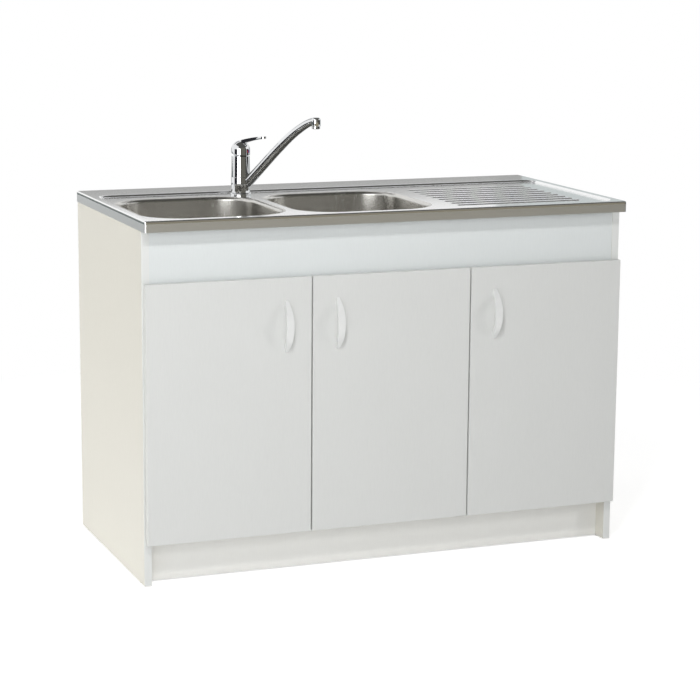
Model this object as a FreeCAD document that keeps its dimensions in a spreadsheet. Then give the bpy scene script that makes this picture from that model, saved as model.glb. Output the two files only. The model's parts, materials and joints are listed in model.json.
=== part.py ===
"""Sink base cabinet: melamine carcass with three doors, steel sink with two bowls and a drainer, mixer tap.

Frame: +Z up from the floor, +X to the right seen from the front, +Y to the wall behind.
The origin is on the floor, midway across the width and midway between the handles and the sink's back edge.
All lengths are in millimetres and all angles in degrees.
"""
import FreeCAD, Part
import math
import os
import Sketcher

Vector = FreeCAD.Vector
Rotation = FreeCAD.Rotation
Placement = FreeCAD.Placement

SIZES = {
    # overall
    "sink_width": 1200,
    "sink_depth": 600,
    "top_height": 850,
    # carcass
    "side_overhang": 1.5,
    "front_overhang": 33,
    "back_clearance": 4,
    "board": 18,
    "plinth_height": 100,
    "plinth_recess": 40,
    "fascia_height": 130,
    "fascia_setback": 1,
    "rail_height": 90,
    "fixing_spacing": 900,
    "fixing_radius": 4,
    "back_panel_thickness": 3,
    "back_panel_height": 370,
    "back_panel_margin": 5,
    "shelf_height": 400,
    "shelf_setback": 40,
    "shelf_slack": 0.5,
    "glide_height": 4,
    "glide_radius": 7,
    "glide_inset": 45,
    # knock-down fittings
    "cam_radius": 7.5,
    "cam_depth": 13,
    "cam_offset": 34,
    "bolt_radius": 3,
    "bolt_depth": 11,
    "dowel_radius": 4,
    "dowel_half": 14,
    "joint_inset": 70,
    "joint_pitch": 44,
    "fit_clearance": 0.1,
    "shelf_pin_radius": 2.5,
    "shelf_pin_half": 9,
    "shelf_pin_inset": 75,
    # doors
    "door_thickness": 16,
    "door_standoff": 4,
    "door_overlap": 11.5,
    "door_reveal": 3.5,
    "door_gap": 3.5,
    "door_edge_radius": 1.2,
    "bumper_radius": 4,
    "bumper_slack": 0.1,
    "bumper_inset": 20,
    # bow handles
    "handle_length": 120,
    "handle_reach": 28,
    "handle_thickness": 6,
    "handle_foot": 15,
    "handle_middle_width": 18,
    "handle_end_width": 7,
    "handle_inset": 61,
    "handle_drop": 112,
    "handle_hole_inset": 8,
    "handle_screw_radius": 2,
    "handle_screw_depth": 5,
    "screw_head_radius": 3.8,
    "screw_head_height": 2.2,
    # concealed hinges
    "hinge_inset": 95,
    "cup_radius": 17.5,
    "cup_depth": 13,
    "cup_wall": 0.8,
    "cup_edge_distance": 4,
    "cup_flange": 1.2,
    "cup_flange_width": 26,
    "cup_flange_length": 58,
    "pin_edge_distance": 8.5,
    "pin_depth": 9.5,
    "pin_radius": 1.25,
    "running_clearance": 0.05,
    "eye_radius": 2.5,
    "ear_thickness": 2,
    "ear_clearance": 0.2,
    "arm_thickness": 2.4,
    "arm_width": 9,
    "arm_neck": 14,
    "arm_straight": 12,
    "arm_crank": 10,
    "arm_reach": 58,
    "plate_height": 6,
    "plate_width": 12,
    "plate_setback": 26,
    "plate_length": 34,
    "plate_wing": 44,
    "plate_wing_width": 13,
    "plate_wing_thickness": 3,
    "plate_screw_spacing": 32,
    "plate_screw_radius": 2.4,
    "plate_screw_depth": 11,
    # sink top
    "sheet_steel": 1,
    "skirt_height": 26,
    "skirt_return": 14,
    "sink_corner": 5,
    "skirt_bend": 3,
    "rim_lap": 1,
    "deck_recess": 5,
    "recess_rim": 16,
    "recess_slope": 8,
    "rear_ledge": 110,
    "recess_corner": 40,
    "bowl_divider_gap": 52,
    "bowl_rear_margin": 178,
    "bowl_depth": 150,
    "bowl_corner": 90,
    "bowl_lip": 9,
    "bowl_flange": 2,
    "bowl_bottom_radius": 45,
    "bowl_side_margin": 38,
    "bowl_front_margin": 66,
    "bowl_gap": 36,
    "rib_start": 58,
    "rib_half_width": 6,
    "rib_rise": 2.4,
    "rib_pitch": 38,
    "rib_count": 9,
    "rib_margin": 60,
    # wastes and trap
    "waste_hole_radius": 44,
    "waste_rim_width": 12,
    "waste_rim": 1.6,
    "dish_clearance": 1.6,
    "waste_dish_depth": 29,
    "waste_wall": 1.2,
    "gasket_thickness": 3,
    "basket_slack": 1.5,
    "basket_depth": 24,
    "basket_wall": 1,
    "basket_hole_radius": 3.5,
    "basket_hole_ring": 24,
    "basket_hole_count": 10,
    "knob_radius": 9,
    "knob_height": 20,
    "body_wall": 2.5,
    "spigot_radius": 22,
    "spigot_drop": 64,
    "pipe_radius": 20,
    "pipe_wall": 2,
    "pipe_bend": 32,
    "branch_drop": 38,
    "trap_radius": 34,
    "trap_neck": 62,
    "trap_height": 78,
    "cup_height": 66,
    "outlet_drop": 95,
    "outlet_setback": 24,
    "outlet_spigot": 50,
    "outlet_step": 0.6,
    "outlet_taper": 1.5,
    "nut_wall": 6,
    "nut_height": 18,
    # mixer tap
    "tap_offset": -18,
    "tap_back": 163,
    "tap_hole_clearance": 1.5,
    "base_ring_radius": 26,
    "base_ring_height": 6,
    "sleeve_radius": 17,
    "collar_radius": 23.5,
    "collar_height": 39,
    "axial_clearance": 0.3,
    "tap_body_radius": 23,
    "tap_body_top": 96,
    "tap_crown_radius": 22,
    "pivot_rise": 12,
    "ball_radius": 19.5,
    "ball_gap": 1,
    "ball_top": 4,
    "crown_wall": 2.4,
    "stem_radius": 8,
    "stem_foot": 62,
    "tongue_half": 3,
    "tongue_width": 5,
    "lever_pin_radius": 1.5,
    "lever_ear": 4.7,
    "lever_wall": 2.5,
    "lever_cap_rise": 26,
    "lever_skirt": 4,
    "lever_rim": 10,
    "lever_hollow": 11,
    "lever_hollow_bevel": 2.5,
    "lever_rear_rim": 3.5,
    "plug_radius": 4.5,
    "plug_depth": 1.5,
    "lever_reach": 76,
    "lever_rise": 37,
    "lever_arch": 3.8,
    "lever_root_back": 11.5,
    "lever_root_sink": 5,
    "lever_root_drop": 10,
    "lever_root_place": 8,
    "lever_root_width": 18,
    "lever_throat": 25,
    "lever_throat_drop": 2.5,
    "lever_throat_sag": 1.5,
    "lever_waist_place": 46,
    "lever_waist_width": 8,
    "lever_tip_width": 13,
    "lever_tip_thickness": 5,
    "lever_tip_round": 5.8,
    "lever_angle": -55,
    "spout_angle": -47,
    "spout_reach": 205,
    "spout_root": 30,
    "spout_embed": 1,
    "spout_rise": 190,
    "spout_root_radius": 12.5,
    "spout_tip_radius": 8.5,
    "spout_nose": 13,
    "spout_nose_round": 4,
    "spout_nose_taper": -42,
    "aerator_radius": 10,
    "aerator_height": 13,
    "shank_radius": 16,
    "shank_length": 46,
    "inlet_radius": 4.5,
    "inlet_depth": 14,
    "inlet_spacing": 15,
    "tap_washer_radius": 27,
    "tap_washer": 3,
    "tap_nut_radius": 23,
    "tap_nut_height": 9,
}

doc = FreeCAD.newDocument("sink_base_cabinet")
sheet = doc.addObject("Spreadsheet::Sheet", "dims")
for row, (alias, size) in enumerate(SIZES.items(), 1):
    sheet.set(f"A{row}", alias)
    sheet.set(f"B{row}", str(size))
    sheet.setAlias(f"B{row}", alias)

# Sizes that follow from the driving ones, in a sheet of formulas
FORMULAS = {
    "carcass_width": "dims.sink_width - 2 * dims.side_overhang",
    "carcass_depth": "dims.sink_depth - dims.front_overhang - dims.back_clearance",
    "door_width": "(carcass_width - 2 * dims.door_reveal - 2 * dims.door_gap) / 3",
    "door_bottom": "dims.plinth_height + dims.door_reveal",
    "fascia_bottom": "dims.top_height - dims.skirt_height - dims.fascia_height",
    "door_height": "fascia_bottom + dims.door_overlap - door_bottom",
    "divider_place": "(door_width + dims.door_gap) / 2",
    "bowls_left": "dims.bowl_side_margin - dims.sink_width / 2",
    "bowls_right": "divider_place - dims.board / 2 - dims.bowl_divider_gap",
    "bowl_width": "(bowls_right - bowls_left - dims.bowl_gap) / 2",
    "bowl_length": "dims.sink_depth - dims.bowl_front_margin - dims.bowl_rear_margin",
    "rib_end": "dims.sink_width / 2 - dims.recess_rim - dims.recess_slope - dims.rib_margin",
    "rib_length": "rib_end - bowls_right - dims.rib_start",
    "handle_hole_spacing": "dims.handle_length - 2 * dims.handle_hole_inset",
    "pin_length": "dims.arm_width + 2 * (dims.ear_clearance + dims.ear_thickness)",
    "waste_rim_radius": "dims.waste_hole_radius + dims.waste_rim_width",
    "waste_dish_radius": "dims.waste_hole_radius - dims.dish_clearance",
    "tap_hole_radius": "dims.shank_radius + dims.tap_hole_clearance",
    "tap_place": "(bowls_left + bowls_right) / 2 + dims.tap_offset",
    "lever_pivot": "dims.tap_body_top + dims.pivot_rise",
    "crown_neck": "sqrt(dims.ball_radius ^ 2 - dims.pivot_rise ^ 2)",
    "stem_bore": "crown_neck - dims.crown_wall",
    "lever_pin_half": "dims.tongue_half + dims.axial_clearance + dims.lever_ear",
    "lever_cap_radius": "dims.ball_radius + dims.ball_gap + dims.lever_wall",
}
fits = doc.addObject("Spreadsheet::Sheet", "fits")
for row, (alias, formula) in enumerate(FORMULAS.items(), 1):
    fits.set(f"A{row}", alias)
    fits.setAlias(f"B{row}", alias)
    fits.set(f"B{row}", f"={formula}")
doc.recompute()

# Places that several pieces share, as expressions on the sheets
DOOR_LAYERS = "dims.door_standoff + dims.door_thickness + dims.handle_reach"
BACK = f"((dims.back_clearance + fits.carcass_depth + {DOOR_LAYERS}) / 2)"
CARCASS_BACK = f"({BACK} - dims.back_clearance)"
CARCASS_FRONT = f"({CARCASS_BACK} - fits.carcass_depth)"
DOOR_BACK = f"({CARCASS_FRONT} - dims.door_standoff)"
DOOR_FRONT = f"({DOOR_BACK} - dims.door_thickness)"
SINK_MID = f"({BACK} - dims.sink_depth / 2)"
CARCASS_TOP = "(dims.top_height - dims.skirt_height)"
DECK = "(dims.top_height - dims.deck_recess)"
OUTER = "(fits.carcass_width / 2)"
INNER = f"({OUTER} - dims.board)"
FLOOR_TOP = "(dims.plinth_height + dims.board)"
DOOR_BOTTOM = "fits.door_bottom"
DOOR_WIDTH = "fits.door_width"
DIVIDER_X = "fits.divider_place"
FASCIA_BOTTOM = "fits.fascia_bottom"
FASCIA_FRONT = f"({CARCASS_FRONT} + dims.fascia_setback)"
PLINTH_FRONT = f"({CARCASS_FRONT} + dims.plinth_recess)"
SHELF_X = f"(({DIVIDER_X} + dims.board / 2 + {INNER}) / 2)"
BOWL_Y = f"({BACK} - dims.bowl_rear_margin - fits.bowl_length / 2)"
BOWL_X = {
    "left": "(fits.bowls_left + fits.bowl_width / 2)",
    "right": "(fits.bowls_right - fits.bowl_width / 2)",
}
BOWL_FLOOR = f"({DECK} - dims.bowl_depth)"
SPIGOT_END = f"({BOWL_FLOOR} - dims.spigot_drop)"
TAP_X = "fits.tap_place"
TAP_Y = f"({BACK} - dims.tap_back)"

NODES = []


def number(expression):
    """Value of an expression on the sheet."""
    return float(sheet.evalExpression(str(expression)))


def bind(thing, **expressions):
    """Ties properties of a document object to the sheet."""
    for name, expression in expressions.items():
        thing.setExpression(name, str(expression))
    return thing


def place(thing, x="0", y="0", z="0", turn=None):
    """Puts an object at a place given by expressions, turned by a fixed rotation."""
    if turn is not None:
        thing.Placement = Placement(Vector(), turn)
    for letter, expression in zip("xyz", (x, y, z)):
        thing.setExpression(f"Placement.Base.{letter}", str(expression))
    return thing


def node(label, thing):
    """Names a finished sub-part, which is then checked and written."""
    thing.Label = label
    NODES.append(thing)
    return thing


def new_body(x="0", y="0", z="0", turn=None):
    return place(doc.addObject("PartDesign::Body", "Body"), x, y, z, turn)


def new_sketch(body, role, offset="0"):
    """Sketch on one of the body's own planes, moved along that plane's normal."""
    sketch = body.newObject("Sketcher::SketchObject", "Sketch")
    plane = next(feature for feature in body.Origin.OriginFeatures if feature.Role == role)
    sketch.AttachmentSupport = (plane, [""])
    sketch.MapMode = "FlatFace"
    sketch.setExpression("AttachmentOffset.Base.z", str(offset))
    return sketch


def constrain(sketch, constraint, expression):
    index = sketch.addConstraint(constraint)
    sketch.setExpression(f"Constraints[{index}]", str(expression))


def pin_point(sketch, shape, point, x, y):
    constrain(sketch, Sketcher.Constraint("DistanceX", -1, 1, shape, point, number(x)), x)
    constrain(sketch, Sketcher.Constraint("DistanceY", -1, 1, shape, point, number(y)), y)


def loop(sketch, points):
    """Closed outline through (x, y) points. A third item is the bulge, to the right of travel, of an arc."""
    corners = [Vector(number(point[0]), number(point[1]), 0) for point in points]
    sides = []
    for index, point in enumerate(points):
        start = corners[index]
        end = corners[(index + 1) % len(points)]
        if len(point) == 2:
            side = sketch.addGeometry(Part.LineSegment(start, end), False)
        else:
            along = end - start
            across = Vector(along.y, -along.x, 0).normalize()
            middle = (start + end) / 2 + across * number(point[2])
            side = sketch.addGeometry(Part.ArcOfCircle(*arc_span(start, middle, end)), False)
        forward = sketch.getPoint(side, 1).distanceToPoint(start) < 1e-6
        sides.append((side, 1 if forward else 2, 2 if forward else 1))
    for index, point in enumerate(points):
        side, first, last = sides[index]
        following = sides[(index + 1) % len(points)]
        sketch.addConstraint(Sketcher.Constraint("Coincident", side, last, following[0], following[1]))
        pin_point(sketch, side, first, point[0], point[1])
        if len(point) == 3:
            ahead = points[(index + 1) % len(points)]
            chord = f"(({ahead[0]} - ({point[0]})) ^ 2 + ({ahead[1]} - ({point[1]})) ^ 2)"
            radius = f"({chord} / 4 + ({point[2]}) ^ 2) / (2 * abs({point[2]}))"
            constrain(sketch, Sketcher.Constraint("Radius", side, number(radius)), radius)
    return sketch


def arc_span(start, middle, end):
    """Circle and angles of the arc through three points, in the sketch's anticlockwise sense."""
    circle = Part.Circle(start, middle, end)
    arms = [point - circle.Center for point in (start, middle, end)]
    angles = [math.atan2(arm.y, arm.x) for arm in arms]
    turn = 2 * math.pi
    if (angles[1] - angles[0]) % turn > (angles[2] - angles[0]) % turn:
        angles.reverse()
    flat = Part.Circle(circle.Center, Vector(0, 0, 1), circle.Radius)
    return flat, angles[0], angles[0] + (angles[2] - angles[0]) % turn


def quarter(radius):
    """Bulge of a quarter circle."""
    return f"(({radius}) * (1 - sqrt(0.5)))"


def rectangle(sketch, left, low, right, high):
    return loop(sketch, [(left, low), (right, low), (right, high), (left, high)])


def rounded(sketch, width, length, corner, x="0", y="0"):
    """Rectangle with rounded corners about a centre."""
    half_x = f"(({width}) / 2)"
    half_y = f"(({length}) / 2)"
    bulge = quarter(corner)
    return loop(sketch, [
        (f"{x} - {half_x} + ({corner})", f"{y} - {half_y}"),
        (f"{x} + {half_x} - ({corner})", f"{y} - {half_y}", bulge),
        (f"{x} + {half_x}", f"{y} - {half_y} + ({corner})"),
        (f"{x} + {half_x}", f"{y} + {half_y} - ({corner})", bulge),
        (f"{x} + {half_x} - ({corner})", f"{y} + {half_y}"),
        (f"{x} - {half_x} + ({corner})", f"{y} + {half_y}", bulge),
        (f"{x} - {half_x}", f"{y} + {half_y} - ({corner})"),
        (f"{x} - {half_x}", f"{y} - {half_y} + ({corner})", bulge),
    ])


def circle(sketch, radius, x="0", y="0"):
    centre = Vector(number(x), number(y), 0)
    ring = sketch.addGeometry(Part.Circle(centre, Vector(0, 0, 1), number(radius)), False)
    constrain(sketch, Sketcher.Constraint("Radius", ring, number(radius)), radius)
    pin_point(sketch, ring, 3, x, y)
    return sketch


def feature(body, kind, sketch, **expressions):
    made = body.newObject(f"PartDesign::{kind}", kind)
    made.Profile = sketch
    return bind(made, **expressions)


def pad(body, sketch, length, reverse=False):
    made = feature(body, "Pad", sketch, Length=length)
    made.Reversed = reverse
    return made


def pocket(body, sketch, length, reverse=False):
    made = feature(body, "Pocket", sketch, Length=length)
    made.Reversed = reverse
    return made


def drill(body, role, offset, spots, radius, depth, reverse=False):
    """Round holes in one face. They run against the plane's normal, or along it if reversed."""
    sketch = new_sketch(body, role, offset)
    for x, y in spots:
        circle(sketch, radius, x, y)
    return pocket(body, sketch, depth, reverse)


def revolve(body, points, groove=False):
    """Turns an outline of (radius, height) points about the body's Z axis."""
    sketch = loop(new_sketch(body, "XZ_Plane"), points)
    made = feature(body, "Groove" if groove else "Revolution", sketch, Angle="360")
    made.ReferenceAxis = (sketch, ["V_Axis"])
    return made


def pipe(body, profile, path):
    """Sweeps a profile round a closed path."""
    made = feature(body, "AdditivePipe", profile)
    made.Spine = (path, [f"Edge{index + 1}" for index in range(path.GeometryCount)])
    return made


AXIS_TURNS = {
    "X": Rotation(Vector(0, 1, 0), 90),
    "Y": Rotation(Vector(1, 0, 0), -90),
    "Z": Rotation(),
}


def rod(axis, radius, length, x, y, z):
    """Cylinder that runs from a point along an axis."""
    made = bind(doc.addObject("Part::Cylinder", "Rod"), Radius=radius, Height=length)
    return place(made, x, y, z, AXIS_TURNS[axis])


def block(length, width, height, x, y, z):
    made = bind(doc.addObject("Part::Box", "Block"), Length=length, Width=width, Height=height)
    return place(made, x, y, z)


def join(*shapes):
    made = doc.addObject("Part::MultiFuse", "Join")
    made.Shapes = list(shapes)
    made.Refine = True
    return made


def cut(base, *tools):
    made = doc.addObject("Part::Cut", "Cut")
    made.Base = base
    made.Tool = tools[0] if len(tools) == 1 else join(*tools)
    return made


def group(label, shapes):
    """Several separate solids that share one node."""
    made = doc.addObject("Part::Compound", "Group")
    made.Links = list(shapes)
    return node(label, made)


# Places of the knock-down joints on the inner faces of the side panels, as (y, z)
BOTTOM_Z = "(dims.plinth_height + dims.board / 2)"
FASCIA_Y = f"({FASCIA_FRONT} + dims.board / 2)"
RAIL_Y = f"({CARCASS_BACK} - dims.board / 2)"
PLINTH_Y = f"({PLINTH_FRONT} + dims.board / 2)"
PLINTH_Z = "((dims.plinth_height + dims.glide_height) / 2)"
RAIL_Z = f"({CARCASS_TOP} - dims.rail_height / 2)"
FASCIA_Z = f"({CARCASS_TOP} - dims.fascia_height / 2)"
JOINTS = {
    "bottom": {
        "bolts": [
            (f"{CARCASS_FRONT} + dims.joint_inset", BOTTOM_Z),
            (f"{CARCASS_BACK} - dims.joint_inset", BOTTOM_Z),
        ],
        "dowels": [
            (f"{CARCASS_FRONT} + dims.joint_inset + dims.joint_pitch", BOTTOM_Z),
            (f"{CARCASS_BACK} - dims.joint_inset - dims.joint_pitch", BOTTOM_Z),
        ],
    },
    "fascia": {
        "bolts": [(FASCIA_Y, f"{FASCIA_Z} + dims.joint_pitch / 2")],
        "dowels": [(FASCIA_Y, f"{FASCIA_Z} - dims.joint_pitch / 2")],
    },
    "rail": {
        "bolts": [(RAIL_Y, f"{RAIL_Z} + dims.joint_pitch / 2")],
        "dowels": [(RAIL_Y, f"{RAIL_Z} - dims.joint_pitch / 2")],
    },
    "plinth": {
        "bolts": [(PLINTH_Y, f"{PLINTH_Z} + dims.joint_pitch / 2")],
        "dowels": [(PLINTH_Y, f"{PLINTH_Z} - dims.joint_pitch / 2")],
    },
}
BOLT_HOLE = "dims.bolt_radius + dims.fit_clearance"
DOWEL_HOLE = "dims.dowel_radius + dims.fit_clearance"
CAM_HOLE = "dims.cam_radius + dims.fit_clearance"
DOWEL_BORE = "dims.dowel_half + dims.fit_clearance"
CAM_BORE = "dims.cam_depth + dims.fit_clearance"
HINGE_Z = [
    f"({DOOR_BOTTOM} + dims.hinge_inset)",
    f"({DOOR_BOTTOM} + fits.door_height - dims.hinge_inset)",
]
PLATE_Y = f"({CARCASS_FRONT} + dims.plate_setback + dims.plate_length / 2)"
PLATE_SCREWS = [
    (PLATE_Y, f"{z} {sign} dims.plate_screw_spacing / 2")
    for z in HINGE_Z
    for sign in "-+"
]
SHELF_PIN_Z = "dims.shelf_height - dims.shelf_pin_radius"
SHELF_PINS = [
    (f"{CARCASS_FRONT} + dims.shelf_setback + dims.shelf_pin_inset", SHELF_PIN_Z),
    (f"{CARCASS_BACK} - dims.shelf_setback - dims.shelf_pin_inset", SHELF_PIN_Z),
]
SHELF_PIN_HOLE = "dims.shelf_pin_radius + dims.fit_clearance"
SHELF_PIN_BORE = "dims.shelf_pin_half + dims.fit_clearance"


def side_panel(label, side):
    """Full-height side, bored on its inner face for the joints, hinge plates and shelf pins."""
    body = new_body(x=f"-{OUTER}" if side < 0 else INNER)
    outline = new_sketch(body, "YZ_Plane")
    rectangle(outline, CARCASS_FRONT, "dims.glide_height", CARCASS_BACK, CARCASS_TOP)
    pad(body, outline, "dims.board")
    face = "dims.board" if side < 0 else "0"
    outward = side > 0
    bolts = [spot for joint in JOINTS.values() for spot in joint["bolts"]]
    dowels = [spot for joint in JOINTS.values() for spot in joint["dowels"]]
    drill(body, "YZ_Plane", face, bolts, BOLT_HOLE, "dims.bolt_depth + dims.fit_clearance", outward)
    drill(body, "YZ_Plane", face, dowels, DOWEL_HOLE, DOWEL_BORE, outward)
    drill(body, "YZ_Plane", face, PLATE_SCREWS, "dims.plate_screw_radius + dims.fit_clearance",
          "dims.plate_screw_depth + dims.fit_clearance", outward)
    if side > 0:
        drill(body, "YZ_Plane", face, SHELF_PINS, SHELF_PIN_HOLE, SHELF_PIN_BORE, outward)
    return node(label, body)


def bore_ends(body, joint):
    """Bolt and dowel bores in both ends of a board that spans the side panels."""
    for end, reverse in ((f"-{INNER}", True), (INNER, False)):
        drill(body, "YZ_Plane", end, joint["bolts"], BOLT_HOLE, "dims.cam_offset", reverse)
        drill(body, "YZ_Plane", end, joint["dowels"], DOWEL_HOLE, DOWEL_BORE, reverse)


CAM_X = [f"(-{INNER} + dims.cam_offset)", f"({INNER} - dims.cam_offset)"]


def bottom_panel():
    body = new_body()
    outline = new_sketch(body, "XY_Plane", "dims.plinth_height")
    rectangle(outline, f"-{INNER}", CARCASS_FRONT, INNER, CARCASS_BACK)
    pad(body, outline, "dims.board")
    bore_ends(body, JOINTS["bottom"])
    cams = [(x, y) for x in CAM_X for y, _ in JOINTS["bottom"]["bolts"]]
    drill(body, "XY_Plane", "dims.plinth_height", cams, CAM_HOLE, CAM_BORE, True)
    bolts = [(DIVIDER_X, y) for y in DIVIDER_BOLTS]
    dowels = [(DIVIDER_X, y) for y in DIVIDER_DOWELS]
    drill(body, "XY_Plane", FLOOR_TOP, bolts, BOLT_HOLE, "dims.bolt_depth + dims.fit_clearance")
    drill(body, "XY_Plane", FLOOR_TOP, dowels, DOWEL_HOLE, DOWEL_BORE)
    return node("bottom_panel", body)


def spanning_board(label, joint, back, low, high, cam_face, cams_from_back):
    """Upright board between the side panels, fixed by one cam and one dowel at each end."""
    body = new_body()
    outline = new_sketch(body, "XZ_Plane", f"-({back})")
    rectangle(outline, f"-{INNER}", low, INNER, high)
    pad(body, outline, "dims.board")
    bore_ends(body, joint)
    cams = [(x, z) for x in CAM_X for _, z in joint["bolts"]]
    drill(body, "XZ_Plane", f"-({cam_face})", cams, CAM_HOLE, CAM_BORE, cams_from_back)
    return node(label, body)


DIVIDER_BOLTS = [f"({CARCASS_FRONT} + dims.joint_inset)", f"({CARCASS_BACK} - dims.joint_inset)"]
DIVIDER_DOWELS = [
    f"({CARCASS_FRONT} + dims.joint_inset + dims.joint_pitch)",
    f"({CARCASS_BACK} - dims.joint_inset - dims.joint_pitch)",
]


def divider_panel():
    """Upright between the wide and the narrow cupboard, notched round the fascia and the rear rail."""
    body = new_body(x=f"{DIVIDER_X} - dims.board / 2")
    fascia_back = f"({FASCIA_FRONT} + dims.board + dims.fit_clearance)"
    rail_front = f"({CARCASS_BACK} - dims.board - dims.fit_clearance)"
    notch = f"({FASCIA_BOTTOM} - dims.fit_clearance)"
    rail_notch = f"({CARCASS_TOP} - dims.rail_height - dims.fit_clearance)"
    outline = loop(new_sketch(body, "YZ_Plane"), [
        (CARCASS_FRONT, FLOOR_TOP),
        (CARCASS_BACK, FLOOR_TOP),
        (CARCASS_BACK, rail_notch),
        (rail_front, rail_notch),
        (rail_front, CARCASS_TOP),
        (fascia_back, CARCASS_TOP),
        (fascia_back, notch),
        (CARCASS_FRONT, notch),
    ])
    pad(body, outline, "dims.board")
    drill(body, "YZ_Plane", "0", PLATE_SCREWS, "dims.plate_screw_radius + dims.fit_clearance",
          "dims.plate_screw_depth + dims.fit_clearance", True)
    drill(body, "YZ_Plane", "dims.board", SHELF_PINS, SHELF_PIN_HOLE,
          "dims.shelf_pin_half / 2 + dims.fit_clearance")
    cams = [(y, f"{FLOOR_TOP} + dims.cam_offset") for y in DIVIDER_BOLTS]
    drill(body, "YZ_Plane", "dims.board", cams, CAM_HOLE, CAM_BORE)
    bolts = [("dims.board / 2", y) for y in DIVIDER_BOLTS]
    dowels = [("dims.board / 2", y) for y in DIVIDER_DOWELS]
    drill(body, "XY_Plane", FLOOR_TOP, bolts, BOLT_HOLE, "dims.cam_offset", True)
    drill(body, "XY_Plane", FLOOR_TOP, dowels, DOWEL_HOLE, DOWEL_BORE, True)
    return node("divider_panel", body)


def back_panel():
    """Hardboard across the lower back. The upper back stays open for the pipes."""
    width = "fits.carcass_width - 2 * dims.back_panel_margin"
    return node("back_panel", block(
        width, "dims.back_panel_thickness", "dims.back_panel_height",
        f"-{OUTER} + dims.back_panel_margin", CARCASS_BACK, "dims.plinth_height"))


def shelf():
    left = f"({DIVIDER_X} + dims.board / 2 + dims.shelf_slack)"
    return node("shelf", block(
        f"{INNER} - dims.shelf_slack - {left}", "fits.carcass_depth - 2 * dims.shelf_setback", "dims.board",
        left, f"{CARCASS_FRONT} + dims.shelf_setback", "dims.shelf_height"))


def shelf_pins():
    length = "dims.shelf_pin_half * 2"
    short = "dims.shelf_pin_half * 1.5"
    pins = []
    for y, z in SHELF_PINS:
        pins.append(rod("X", "dims.shelf_pin_radius", length, f"{INNER} - dims.shelf_pin_half", y, z))
        left = f"{DIVIDER_X} + dims.board / 2 - dims.shelf_pin_half / 2"
        pins.append(rod("X", "dims.shelf_pin_radius", short, left, y, z))
    return group("shelf_pins", pins)


def floor_glides():
    middle = f"({OUTER} - dims.board / 2)"
    front = f"{CARCASS_FRONT} + dims.glide_inset"
    rear = f"{CARCASS_BACK} - dims.glide_inset"
    return group("floor_glides", [
        rod("Z", "dims.glide_radius", "dims.glide_height", x, y, "0")
        for x in (f"-{middle}", middle)
        for y in (front, rear)
    ])


def knock_down_fittings():
    """Cams in the cross boards, and the bolts and dowels that run from them into the side panels."""
    cams = []
    bolts = []
    dowels = []
    reach = "dims.cam_offset - dims.cam_radius - dims.fit_clearance"
    length = f"{reach} + dims.bolt_depth"
    for name, joint in JOINTS.items():
        for y, z in joint["bolts"]:
            for x in CAM_X:
                if name == "bottom":
                    cams.append(rod("Z", "dims.cam_radius", "dims.cam_depth", x, y, "dims.plinth_height"))
                elif name == "rail":
                    cams.append(rod("Y", "dims.cam_radius", "dims.cam_depth", x, f"{y} - dims.board / 2", z))
                else:
                    start = f"{y} + dims.board / 2 - dims.cam_depth"
                    cams.append(rod("Y", "dims.cam_radius", "dims.cam_depth", x, start, z))
            bolts.append(rod("X", "dims.bolt_radius", length, f"-{INNER} - dims.bolt_depth", y, z))
            bolts.append(rod("X", "dims.bolt_radius", length, f"{INNER} - ({reach})", y, z))
        for y, z in joint["dowels"]:
            for x in (f"-{INNER}", INNER):
                start = f"{x} - dims.dowel_half"
                dowels.append(rod("X", "dims.dowel_radius", "dims.dowel_half * 2", start, y, z))
    for y in DIVIDER_BOLTS:
        face = f"{DIVIDER_X} + dims.board / 2 - dims.cam_depth"
        cams.append(rod("X", "dims.cam_radius", "dims.cam_depth", face, y, f"{FLOOR_TOP} + dims.cam_offset"))
        bolts.append(rod("Z", "dims.bolt_radius", length, DIVIDER_X, y, f"{FLOOR_TOP} - dims.bolt_depth"))
    for y in DIVIDER_DOWELS:
        start = f"{FLOOR_TOP} - dims.dowel_half"
        dowels.append(rod("Z", "dims.dowel_radius", "dims.dowel_half * 2", DIVIDER_X, y, start))
    group("cam_locks", cams)
    group("cam_bolts", bolts)
    group("wood_dowels", dowels)


# Doors, from left to right: name, place in the row, and the side that the hinges are on
DOORS = [("left_door", 0, -1), ("middle_door", 1, 1), ("right_door", 2, 1)]


def door_left(place_in_row):
    return f"(-fits.carcass_width / 2 + dims.door_reveal + {place_in_row} * ({DOOR_WIDTH} + dims.door_gap))"


def from_hinge_edge(place_in_row, hinge_side, distance):
    """X of a point some distance in from the door's hinged edge."""
    if hinge_side < 0:
        return f"({door_left(place_in_row)} + {distance})"
    return f"({door_left(place_in_row)} + {DOOR_WIDTH} - ({distance}))"


def from_free_edge(place_in_row, hinge_side, distance):
    return from_hinge_edge(place_in_row, -hinge_side, distance)


CUP_DISTANCE = "dims.cup_edge_distance + dims.cup_radius"
HANDLE_Z = f"({DOOR_BOTTOM} + fits.door_height - dims.handle_drop)"
HANDLE_HOLES = [
    f"({HANDLE_Z} - fits.handle_hole_spacing / 2)",
    f"({HANDLE_Z} + fits.handle_hole_spacing / 2)",
]
PIN_Y = f"({DOOR_BACK} - dims.pin_depth)"


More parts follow.
